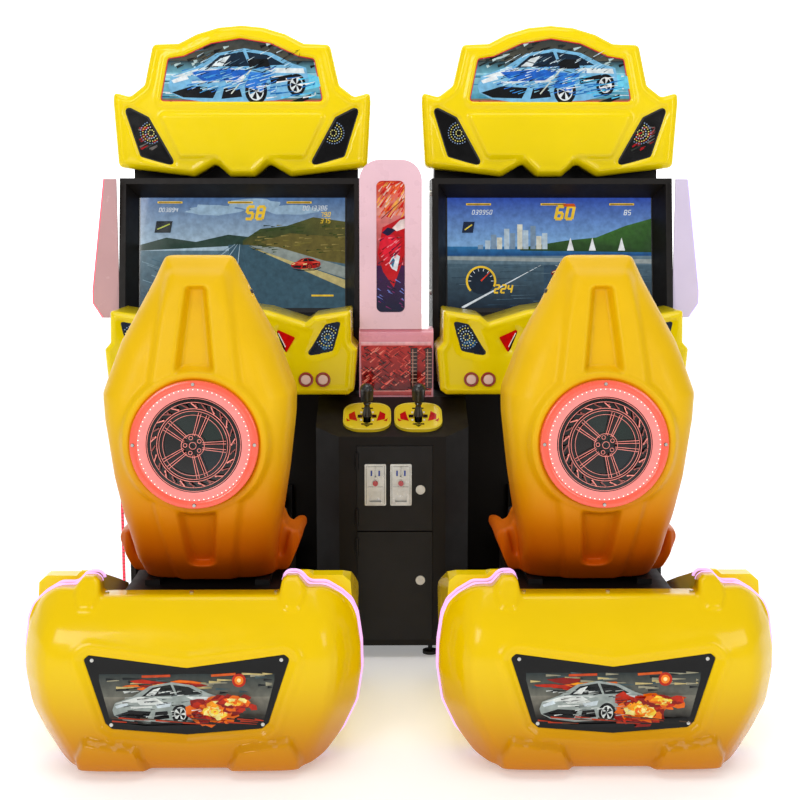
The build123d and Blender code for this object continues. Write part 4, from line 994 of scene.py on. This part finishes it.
def make_lattice():
    """The red lattice print behind the face of the lamp's base."""
    low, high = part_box("lamp_base")
    w, h = (high.x - low.x) / 2 - 0.006, (high.z - low.z)
    field = (-w, .022, w, h - .056)
    rising = [(.90, .34, .28), (.60, .08, .07), (.22, .02, .02), (.95, .52, .44)]
    falling = [(.40, .04, .04), (.80, .24, .20), (.14, .02, .02)]
    layers = [gradient((-w, .020, w, h - .052), (.34, .03, .03), (.74, .16, .13))]
    layers += streaks(130, field, rising, .026, .005, .8)
    layers += streaks(110, field, falling, .024, .004, -.7)
    layers += [gradient((-w, .006, w, .020), (.52, .10, .09), (.72, .24, .22)),
               (stroke((-w, .021), (w, .021), .002), (.95, .66, .62))]
    for u in (.50 * w, .92 * w):
        layers += [(stroke((u, .03), (u, h - .06), .022), (.20, .12, .10)),
                   (stroke((u - .004, .034), (u - .004, h - .064), .004), (.62, .42, .36))]
        rungs = [.05 + .012 * k for k in range(9)]
        layers += [(stroke((u - .009, v), (u + .009, v), .002), (.70, .55, .48)) for v in rungs]
    layers += [gradient((-w, h - .052, w, h - .040), (.90, .52, .52), (.95, .76, .78))]
    place = Vector(((low.x + high.x) / 2, low.y - 0.0006, low.z))
    lit = paint_finish("lit_print", 0.50, 0.18, 0.4, 0.35)
    painting("base_lattice", layers, place, EAST, UP, lit, "frame", "pink_lens")


# ---------------------------------------------------------------- seats
SEAT_SIDE = whole(mm([(0, 1274), (88, 1274), (152, 1150), (204, 1050), (250, 920), (246, 850), (225, 690),
                      (200, 540), (180, 392), (150, 100), (0, 100)]))
REAR_Z = (0.392, 0.460, 0.590, 0.700, 0.900, 1.010, 1.150, 1.274)
REAR_Y = (-0.423, -0.512, -0.580, -0.606, -0.606, -0.588, -0.548, -0.507)
FRONT_Z = (0.392, 0.560, 0.760, 0.960, 1.150, 1.274)
FRONT_Y = (-0.290, -0.300, -0.345, -0.410, -0.440, -0.450)
SPINE = rounded(mm([(-80, 1238), (80, 1238), (124, 900), (-124, 900)]), 0.03)
SPINE_SLOT = rounded(mm([(-25, 1196), (25, 1196), (52, 950), (-52, 950)]), 0.012)
TAIL = rounded(mm([(-124, 700), (124, 700), (70, 360), (-70, 360)]), 0.02)
TAIL_SLOT = rounded(mm([(-54, 660), (54, 660), (33, 452), (-33, 452)]), 0.028)
LAMP_Z = 0.797
SEAT_WING = mm([(150, 402), (214, 396), (253, 490), (245, 512), (226, 513), (212, 524), (200, 560),
                (160, 560)])


def seat_relief(x, z):
    """How far the seat's back stands in from its smooth form: spine, tail, slots and lamp boss."""
    r = np.hypot(x, z - LAMP_Z)
    boss = 1 - ease(r, 0.182, 0.200)
    spine = 0.85 * ease(signed(x, z, SPINE), -0.010, 0.014)
    tail = 0.95 * ease(signed(x, z, TAIL), -0.010, 0.012)
    y = -0.019 * np.maximum(np.maximum(spine, tail), boss)
    slots = np.maximum(ease(signed(x, z, SPINE_SLOT), -0.003, 0.009),
                       ease(signed(x, z, TAIL_SLOT), -0.005, 0.011))
    y = y + 0.036 * slots * (1 - boss)
    return y + 0.014 * (1 - ease(r, 0.160, 0.170))


def make_seat(name, side):
    """The seat's shell: the CAD solid and its side wings, softened, with the relief of its back."""
    cx = centre_of(side)
    source = NODES[f"{name}_seat_shell"]
    piece = bpy.data.objects.new(f"{name}_seat_moulding", source.data.copy())
    bpy.context.scene.collection.objects.link(piece)
    shaper = bmesh.new()
    shaper.from_mesh(piece.data)
    for way in (-1, 1):
        rings = [[shaper.verts.new((cx + way * x, y, z)) for x, z in SEAT_WING] for y in (-0.400, -0.235)]
        shaper.faces.new(rings[0])
        shaper.faces.new(rings[1][::-1])
        n = len(SEAT_WING)
        for i in range(n):
            shaper.faces.new((rings[0][i], rings[1][i], rings[1][(i + 1) % n], rings[0][(i + 1) % n]))
    bmesh.ops.recalc_face_normals(shaper, faces=shaper.faces[:])
    shaper.to_mesh(piece.data)
    shaper.free()
    voxels = piece.modifiers.new("voxels", "REMESH")
    voxels.mode, voxels.voxel_size = "VOXEL", 0.0048
    soften = piece.modifiers.new("soften", "SMOOTH")
    soften.factor, soften.iterations = 0.5, 44
    apply_all(piece)
    mesh = piece.data
    co = np.empty(len(mesh.vertices) * 3)
    mesh.vertices.foreach_get("co", co)
    co = co.reshape(-1, 3)
    x, y, z = co[:, 0] - cx, co[:, 1].copy(), co[:, 2]
    d = np.maximum(signed(x, z, SEAT_SIDE), 0)
    d = np.minimum(d, np.maximum(1.274 - z, 0))
    rear = np.interp(z, *soft(REAR_Z, REAR_Y, 0.07))
    front = np.interp(z, *soft(FRONT_Z, FRONT_Y, 0.05))
    width = 0.080  # of the rounded sides
    round_off = 0.085 * (1 - np.sqrt(np.maximum(1 - ((width - np.clip(d, 0, width)) / width) ** 2, 0)))
    target = rear + round_off * (1 - ease(z, 1.20, 1.274) * 0.4)
    relief_on = ease(d, 0.0, 0.03)
    share = np.clip((front - y) / (front - rear), 0, 1)
    new_y = np.where(y < front, front - share * (front - target), y)
    new_y = new_y + ease(share, 0.72, 0.95) * relief_on * seat_relief(x, z)
    co[:, 1] = np.maximum(new_y, LAMP_BOX[0].y + 0.004)
    raised = np.maximum(z - 0.44, 0)
    co[:, 2] = z - raised * 0.6 * ease(y, -0.26, 0.09)
    mesh.vertices.foreach_set("co", co.ravel())
    mesh.update()
    final = piece.modifiers.new("final", "SMOOTH")
    final.factor, final.iterations = 0.5, 3
    apply_all(piece)
    piece.data.materials.clear()
    piece.data.materials.append(surface(**MOULDED))
    piece.data.shade_smooth()
    ride_as(piece, f"{name}_seat", "seat_moulding", f"{name}_seat_shell")


def make_seat_lamp(name):
    """A lit ring round a dark disc with the outline of a road wheel."""
    body, node = f"{name}_seat", f"{name}_seat_lamp"
    middle, normal, across, up = front_of(node, REARWARD)
    back = 0.022
    face = middle - normal * 0.0015
    coral = dict(name="coral_ring", colour=(0.74, 0.09, 0.05), rough=0.25, coat=0.3, glow=0.27, vary=0.04)
    pale = dict(name="lit_ring", colour=(0.80, 0.20, 0.18), rough=0.35, glow=0.32, vary=0.06, scale=40)
    ring = [(.164, -back), (.164, -.004), (.1625, -.001), (.160, 0), (.148, 0), (.1455, -.0015),
            (.1445, -.004), (.1445, -.008)]
    ride_as(turned(f"{name}_lamp_ring", ring, face, normal, coral, 96), body, "lamp_lens", node)
    inset = [(.1465, -.007), (.146, -.0035), (.140, -.002), (.128, -.002), (.1225, -.0035), (.122, -.007)]
    ride_as(turned(f"{name}_lamp_glow", inset, face, normal, pale, 96), body, "lamp_lens")
    layers = [(oval(0, 0, .1222, n=72), (.035, .02, .02))]
    random.seed(11)
    pink, dim, ink = (.86, .50, .46), (.50, .26, .24), (.02, .015, .02)
    shades = ((.2, (.05, .12, .10)), (1.5, (.10, .14, .13)), (3.1, (.06, .05, .05)), (5.2, (.05, .10, .12)))
    layers += [([(0, 0)] + oval(0, 0, .085, n=8, start=a, end=a + .9), c) for a, c in shades]
    for r, w in ((.120, .0016), (.110, .0014), (.094, .0018), (.088, .0014), (.078, .0012)):
        layers += [(q, pink) for q in ring_shape(0, 0, r, w, 60)]
    for k in range(26):
        a = math.tau * k / 26
        inner = (.096 * math.cos(a), .096 * math.sin(a))
        outer = (.108 * math.cos(a + .16), .108 * math.sin(a + .16))
        layers.append((stroke(inner, outer, .004, .0022), dim if k % 2 else pink))
        layers.append((oval(.103 * math.cos(a + .05), .103 * math.sin(a + .05), .0035, .0025, 6, .4), ink
                       if k % 3 else dim))
    for k in range(5):
        a = math.tau * k / 5 + math.pi / 2 - .35
        c, s = math.cos(a), math.sin(a)
        for off in (-.0125, -.0065, .0065, .0125):
            inner = (.024 * c - off * .7 * s, .024 * s + off * .7 * c)
            outer = (.084 * c - off * 1.15 * s, .084 * s + off * 1.15 * c)
            layers.append((stroke(inner, outer, .0015), pink))
        layers.append((stroke((.030 * c, .030 * s), (.076 * c, .076 * s), .008), (.10, .05, .05)))
        a += math.pi / 5
        layers += [(q, pink) for q in ring_shape(.020 * math.cos(a), .020 * math.sin(a), .0055, .0014, 12)]
    for r, n in ((.0300, 36), (.0095, 20)):
        layers += [(q, pink) for q in ring_shape(0, 0, r, .0014, n)]
    print_finish = paint_finish("lamp_print", 0.25, 0.12, 0.8)
    painting(f"{name}_lamp_print", layers, face - normal * 0.0055, across, up, print_finish, body,
             "lamp_lens")
    dots_v, dots_f = [], []
    for k in range(72):
        a = math.tau * k / 72
        c = face + (across * math.cos(a) + up * math.sin(a)) * .1415 - normal * .0012
        first = len(dots_v)
        for j in range(6):
            b = math.tau * j / 6
            dots_v.append(c + (across * math.cos(b) + up * math.sin(b)) * .0016)
        dots_v.append(c + normal * .0010)
        dots_f += [(first + j, first + (j + 1) % 6, first + 6) for j in range(6)]
    warm = dict(name="led_warm", colour=(1, .78, .66), rough=0.3, glow=1.1)
    ride_as(mesh_piece(f"{name}_lamp_dots", dots_v, dots_f, warm), body, "lamp_lens")
    black = dict(name="black_screw", colour=(0.05, 0.05, 0.05), rough=0.25, metallic=1.0)
    head = [(.0046, -.001), (.0046, .0012), (.0036, .0024), (.0016, .0026), (.0014, .0012), (0, .0012)]
    for k in range(4):
        a = math.pi / 2 * k + math.pi / 2
        c = face + (across * math.cos(a) + up * math.sin(a)) * .1545
        ride_as(turned(f"{name}_lamp_screw_{k}", head, c, normal, black, 20), body, "bright_metal")


def make_cushion(name, node, body, push):
    """A padded copy of a CAD cushion: inflated as cloth, with only part of the swelling kept."""
    piece = bpy.data.objects.new(f"{name}_{node}_pad", NODES[f"{name}_{node}"].data.copy())
    bpy.context.scene.collection.objects.link(piece)
    voxels = piece.modifiers.new("voxels", "REMESH")
    voxels.mode, voxels.voxel_size = "VOXEL", 0.0065
    apply_all(piece)
    before = np.array([v.co for v in piece.data.vertices])
    cloth = piece.modifiers.new("cloth", "CLOTH")
    cloth.settings.quality = 4
    cloth.settings.mass = 0.3
    cloth.settings.use_pressure = True
    cloth.settings.uniform_pressure_force = 4
    cloth.settings.effector_weights.gravity = 0
    cloth.point_cache.frame_start, cloth.point_cache.frame_end = 1, 20
    for frame_number in range(1, 21):
        bpy.context.scene.frame_set(frame_number)
    apply_all(piece)
    bpy.context.scene.frame_set(1)
    after = np.array([v.co for v in piece.data.vertices])
    if len(after) == len(before):
        moved = after - before
        far = np.linalg.norm(moved, axis=1)
        after = before + moved * (np.minimum(far, push) / np.maximum(far, 1e-9))[:, None]
        piece.data.vertices.foreach_set("co", after.ravel())
    low, high = after.min(0), after.max(0)
    finer_skin = piece.modifiers.new("skin", "SUBSURF")
    finer_skin.levels = finer_skin.render_levels = 1
    apply_all(piece)
    co = np.array([v.co for v in piece.data.vertices])
    normals = np.array([v.normal for v in piece.data.vertices])
    along = (co[:, 0] - (low[0] + high[0]) / 2) / (high[0] - low[0])
    groove = np.zeros(len(co))
    for line in (-0.22, 0.22):
        groove += np.exp(-((along - line) / 0.018) ** 2)
    axis = 2 if node.startswith("back") else 1
    run = (co[:, axis] - low[axis]) / (high[axis] - low[axis])
    cross = sum(np.exp(-((run - r) / 0.016) ** 2) for r in (0.25, 0.5, 0.75))
    groove += np.where(np.abs(along) < 0.22, cross, 0)
    piece.data.vertices.foreach_set("co", (co - normals * 0.004 * np.minimum(groove, 1)[:, None]).ravel())
    piece.data.materials.clear()
    piece.data.materials.append(surface("black_vinyl", (0.018, 0.018, 0.020), 0.45, vary=0.15, bump=0.25,
                                        grain=900, scale=9))
    piece.data.shade_smooth()
    ride_as(piece, body, "cushion_vinyl", f"{name}_{node}")


# ---------------------------------------------------------------- lamps, rims and small parts
def make_light_strips():
    """Dotted light strips down the cabinets' sides, beside the footwells."""
    for name, side in SIDES.items():
        colour = (1.0, 0.03, 0.06) if side < 0 else (0.10, 0.10, 1.0)
        glow = dict(name=f"{name}_led", colour=colour, rough=0.3, glow=2.2, vary=0.02)
        strip = dict(name=f"{name}_strip", colour=tuple(0.35 * c + 0.02 for c in colour), rough=0.5,
                     glow=0.25)
        outer = (-0.941, 0.520) if side < 0 else (0.892, 0.5735)
        for x, y, z0, z1, where in ((*outer, 0.105, 0.79, "out"),
                                    (centre_of(side) - side * 0.345, 0.5735, 0.30, 0.74, "in")):
            verts, faces = [], []
            half = 0.0045
            for zz in (z0, z1):
                verts += [(x - half, y - .0008, zz), (x + half, y - .0008, zz), (x + half, y + .004, zz),
                          (x - half, y + .004, zz)]
            faces = [(0, 1, 5, 4), (1, 2, 6, 5), (2, 3, 7, 6), (3, 0, 4, 7), (3, 2, 1, 0), (4, 5, 6, 7)]
            ride_as(mesh_piece(f"{name}_strip_{where}", verts, faces, strip, smooth=False), "frame",
                    "light_tube")
            dots_v, dots_f = [], []
            for k in range(int((z1 - z0) / 0.0125)):
                c = Vector((x, y - .0012, z0 + .006 + .0125 * k))
                first = len(dots_v)
                for t, r in ((0, .0036), (.0016, .0028)):
                    dots_v += [c + Vector((r * math.cos(math.tau * j / 8), -t,
                                           r * math.sin(math.tau * j / 8))) for j in range(8)]
                dots_v.append(c + Vector((0, -.0028, 0)))
                for j in range(8):
                    i = (j + 1) % 8
                    dots_f += [(first + j, first + i, first + 8 + i, first + 8 + j),
                               (first + 8 + j, first + 8 + i, first + 16)]
            ride_as(mesh_piece(f"{name}_leds_{where}", dots_v, dots_f, glow), "frame", "light_tube")


def prism(name, outline, front, back, finish, ease_width=0.0008):
    """A plate between two Y planes, with its outline in X and Z and small eased edges."""
    n = len(outline)
    verts = [(x, front, z) for x, z in outline] + [(x, back, z) for x, z in outline]
    faces = [tuple(range(n)), tuple(range(n, 2 * n))[::-1]]
    faces += [(i, n + i, n + (i + 1) % n, (i + 1) % n) for i in range(n)]
    piece = mesh_piece(name, verts, faces, finish, smooth=False)
    shaper = bmesh.new()
    shaper.from_mesh(piece.data)
    bmesh.ops.recalc_face_normals(shaper, faces=shaper.faces[:])
    bmesh.ops.bevel(shaper, geom=shaper.edges[:], offset=ease_width, segments=2, affect="EDGES",
                    clamp_overlap=True)
    shaper.to_mesh(piece.data)
    shaper.free()
    return piece


def make_fin_edges():
    """The clear side fins, with a lit edge on each."""
    low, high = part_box("side_fins")
    shape = mm([(2, 1501), (43, 1501), (90, 1130), (90, 1088), (59, 1040), (2, 1040)])
    for name, side in SIDES.items():
        edge = side * (high.x - 0.092)
        tint = (0.52, 0.30, 0.31) if side < 0 else (0.62, 0.54, 0.72)
        clear = dict(name=f"{name}_acrylic", colour=tint, rough=0.22, coat=0.4, glow=0.08, vary=0.04)
        plate = prism(f"{name}_fin", [(edge + side * x, z) for x, z in shape], low.y, high.y, clear)
        ride_as(plate, "frame", "clear_acrylic", "side_fins")
        light = (1.0, 0.10, 0.16) if side < 0 else (0.55, 0.50, 1.0)
        glow = dict(name=f"{name}_fin_edge", colour=light, rough=0.3, glow=0.9)
        line = [(edge + side * x, low.y - 0.0006, z) for x, z in shape[1:5]]
        ride_as(tube(f"{name}_fin_edge", [line], 0.0018, glow, closed=False), "frame", "clear_acrylic")


def make_tubes():
    """Lit tubes on both edges of the bands between the rear covers and the fenders."""
    low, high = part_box("light_tubes")
    for name, side in SIDES.items():
        half = rounded(mm([(225, 440), (229, 468), (240, 478), (268, 478), (292, 450), (336, 450), (374, 427),
                           (400, 403), (414, 370),
                           (424, 300), (426, 235), (413, 150), (379, 78), (334, 24), (300, 17)]), 0.03)
        half = [p for p in half if p[0] > 0.2262 and (p[1] > 0.3 or p[0] > 0.2562)]
        runs = [[(centre_of(side) + way * (x + 0.001), y, z) for x, z in half] for way in (-1, 1)
                for y in (low.y + 0.003, high.y - 0.003)]
        ride_as(tube(f"{name}_light_tubes", runs, 0.0042, TUBE_LIGHT, closed=False), "frame", "light_tube",
                "light_tubes")


def make_button_bezels():
    """Dark red rings round the start and view buttons, and their lit caps."""
    red = dict(name="dark_red_bezel", colour=(0.30, 0.012, 0.02), rough=0.2, coat=0.5)
    lit = dict(name="lit_cap", colour=(0.66, 0.44, 0.36), rough=0.35, glow=0.15)
    for name in SIDES:
        for kind in ("start", "view"):
            node = f"{name}_{kind}_button"
            middle, normal = front_of(node, REARWARD)[:2]
            base = Vector((middle.x, DASH_Y - 0.0005, middle.z))
            ring = [(.0235, 0), (.0235, -.0), (.0232, .004), (.0218, .0062), (.0195, .0068), (.0172, .0060),
                    (.0163, .0035), (.0163, -.004)]
            ride_as(turned(f"{name}_{kind}_bezel", ring, base, normal, red), "frame", "red_button")
            cap = [(.0153, -.001), (.0152, .0010), (.0142, .0024), (.0110, .0032), (.0060, .0036), (0, .0037)]
            piece = turned(f"{name}_{kind}_cap", cap, middle - normal * 0.0005, normal, lit)
            ride_as(piece, f"{name}_{kind}", "button_lit")


def make_gate_prints():
    """Red arrows, a dark gate and white lines on each yellow shift plate."""
    low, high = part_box("shift_gates")
    for name, side in SIDES.items():
        from_x, to_x = (low.x - 0.01, -0.01) if side < 0 else (-0.02, high.x + 0.01)
        reach = ((from_x, 0, 0.5), (to_x, 1, 1))
        middle, normal, across, up = front_of("shift_gates", GATE_WAY, *reach)
        red, white, black = (.78, .05, .08), (.96, .96, .94), (.03, .03, .03)
        hole = 0.0155
        layers = []
        for way in (-1, 1):
            arrow = [(.030, -.032), (.056, -.020), (.058, .014), (.040, .034), (.036, .004)]
            layers += [([(way * u, v) for u, v in arrow], red),
                       ([(way * .052, -.030), (way * .066, -.012), (way * .062, -.034)], red),
                       (block(way * hole, .010, way * .030, -.010), black),
                       (block(way * hole, .030, way * .021, .020), white),
                       (block(way * hole, -.020, way * .021, -.030), white)]
        for way in (-1, 1):
            layers += [(block(-.018, way * .048, .018, way * .056), black),
                       ([(-.010, way * .060), (.010, way * .060), (0, way * .070)], black)]
        plain = paint_finish("plain_print", 0.05, 0.25, 0.5)
        painting(f"{name}_gate_print", layers, middle + normal * 0.0004, across, up, plain,
                 "frame", "gate_yellow")
        rim = rounded(block(-.0755, -.088, .0755, .088), .060, 8)
        run = [middle + across * u * 0.97 + up * v * 0.975 + normal * 0.0005 for u, v in rim]
        edge = dict(name="gate_edge", colour=(0.90, 0.72, 0.05), rough=0.2, coat=0.5)
        ride_as(tube(f"{name}_gate_rim", [run], 0.0026, edge), "frame", "gate_yellow")


def make_lever_knobs():
    """Rounded knobs over the shift levers' tops."""
    for name in SIDES:
        middle, normal = front_of(f"{name}_shift_lever", GATE_WAY)[:2]
        profile = [(.0, .003), (.010, .002), (.0165, -.003), (.0195, -.012), (.0195, -.030), (.0170, -.044),
                   (.0115, -.052), (.0095, -.060), (.0120, -.064), (.0100, -.070)]
        black = dict(name="knob_black", colour=(0.015, 0.014, 0.014), rough=0.22, coat=0.4)
        piece = turned(f"{name}_lever_knob", profile[::-1], middle, normal, black)
        ride_as(piece, f"{name}_shifter", "lever_black")


def make_slot_lines():
    """Fine outlines, blue marks and a bright ring on the two coin entry plates."""
    for name, side in SIDES.items():
        reach = ((-0.11, 0, 0.45), (-0.03, 0.2, 0.66)) if side < 0 else ((-0.03, 0, 0.45), (0.05, 0.2, 0.66))
        middle, normal, across, up = front_of("coin_plates", REARWARD, *reach)
        ink, blue, bright = (.10, .09, .08), (.16, .26, .60), (.80, .78, .72)
        layers = [(stroke((-.024, .057), (.024, .057), .0012), ink),
                  (stroke((-.024, -.006), (.024, -.006), .0010), ink)]
        layers += [(stroke((u, .060), (u, -.060), .0010), ink) for u in (-.028, .028)]
        layers += [(stroke((u, .045), (u, .028), .0055), blue) for u in (-.012, .012)]
        layers += [(q, bright) for q in ring_shape(0, .005, .0125, .0014, 28)]
        plain = paint_finish("plain_print", 0.05, 0.25, 0.5)
        painting(f"{name}_plate_print", layers, middle + normal * 0.0003, across, up, plain,
                 "coin_door", "bright_metal")


def make_vents():
    """Louvres pressed into the two service panels behind."""
    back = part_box("service_panels")[1].y
    for name, side in SIDES.items():
        cx = centre_of(side)
        verts, faces = [], []
        for column in (-0.12, 0.12):
            for row in range(9):
                z = 0.30 + 0.028 * row
                first = len(verts)
                for t in (math.pi * k / 4 for k in range(5)):
                    for x in (-0.085, 0.085):
                        across = cx + column + x * (1 - 0.06 * math.sin(t))
                        verts.append((across, back + 0.0045 * math.sin(t) - 0.0005, z + 0.009 * math.cos(t)))
                faces += [(first + 2 * j, first + 2 * j + 2, first + 2 * j + 3, first + 2 * j + 1)
                          for j in range(4)]
                faces += [tuple(first + 2 * j for j in (4, 3, 2, 1, 0)),
                          tuple(first + 2 * j + 1 for j in range(5))]
        ride_as(mesh_piece(f"{name}_louvres", verts, faces, STEEL_BLACK, 50), "frame", "black_steel")


def make_finishes():
    """Procedural finishes and eased edges for the CAD nodes that stay in sight."""
    table = {
        "black_board": (BLACK, 0.0016), "black_steel": (STEEL_BLACK, 0.0012), "yellow_gloss": (YELLOW, 0.004),
        "seat_moulding": (MOULDED, 0), "cushion_vinyl": (RUBBER, 0), "wheel_grip": (RUBBER, 0.0),
        "screen": (dict(name="monitor_black", colour=(0.006, 0.006, 0.007), rough=0.12, coat=0.5), 0.001),
        "printed_panel": (dict(name="panel_edge", colour=(0.03, 0.03, 0.03), rough=0.2, coat=0.5), 0.0008),
        "pedal_metal": (dict(name="pedal_metal", colour=(0.50, 0.50, 0.52), rough=0.35, metallic=1.0,
                             scale=25, bump=0.08), 0.0015),
        "button_lit": (dict(name="lit_button", colour=(0.80, 0.58, 0.52), rough=0.35, glow=0.2), 0.0008),
        "lever_black": (dict(name="lever_black", colour=(0.02, 0.02, 0.02), rough=0.3, coat=0.3), 0.0008),
        "lamp_lens": (dict(name="lamp_lens", colour=(0.90, 0.20, 0.16), rough=0.3, glow=0.3), 0.001),
        "bright_metal": (METAL, 0.0006),
        "red_button": (dict(name="red_button", colour=(0.55, 0.02, 0.02), rough=0.2, coat=0.5), 0.0006),
        "pink_lens": (PINK, 0.008),
        "gate_yellow": (dict(name="gate_yellow", colour=(0.92, 0.70, 0.02), rough=0.22, coat=0.5), 0.0015),
        "clear_acrylic": (dict(name="clear_acrylic", colour=(0.66, 0.44, 0.45), rough=0.25, coat=0.5,
                               glow=0.10), 0.001),
        "trim_dark": (dict(name="trim_band", colour=(0.80, 0.53, 0.0), rough=0.22, coat=0.3, vary=0.03,
                           darker_below=((0.035, 0.012, 0.10), 0.36, 0.42)), 0.001),
        "light_tube": (TUBE_LIGHT, 0.001),
        "speaker_black": (RUBBER, 0.0006),
        "board_green": (dict(name="board_green", colour=(0.02, 0.10, 0.04), rough=0.5, vary=0.3, scale=60),
                        0.001),
        "black_plastic": (RUBBER, 0.0008),
    }
    for part in frame["record"]["subparts"]:
        node = NODES.get(part["node"])
        if node is None or node.hide_render:
            continue
        finish, width = table[part["material_slot"]]
        if part["node"] == "lamp_tower":
            finish = PALE_PINK
        node.data.materials.clear()
        node.data.materials.append(surface(**finish))
        if width:
            bevel = node.modifiers.new("eased", "BEVEL")
            bevel.width, bevel.segments, bevel.limit_method = width, 2, "ANGLE"
            bevel.angle_limit = math.radians(40)
            bevel.use_clamp_overlap = True
        node.data.shade_smooth()
        node.data.set_sharp_from_angle(angle=math.radians(32))


make_studio()
make_mouldings()
make_pictures()
make_lattice()
for machine, which in SIDES.items():
    make_seat(machine, which)
    make_seat_lamp(machine)
    make_cushion(machine, "seat_cushion", f"{machine}_seat", 0.012)
    make_cushion(machine, "back_cushion", f"{machine}_seat", 0.010)
make_light_strips()
make_fin_edges()
make_tubes()
make_button_bezels()
make_gate_prints()
make_lever_knobs()
make_slot_lines()
make_vents()
make_finishes()
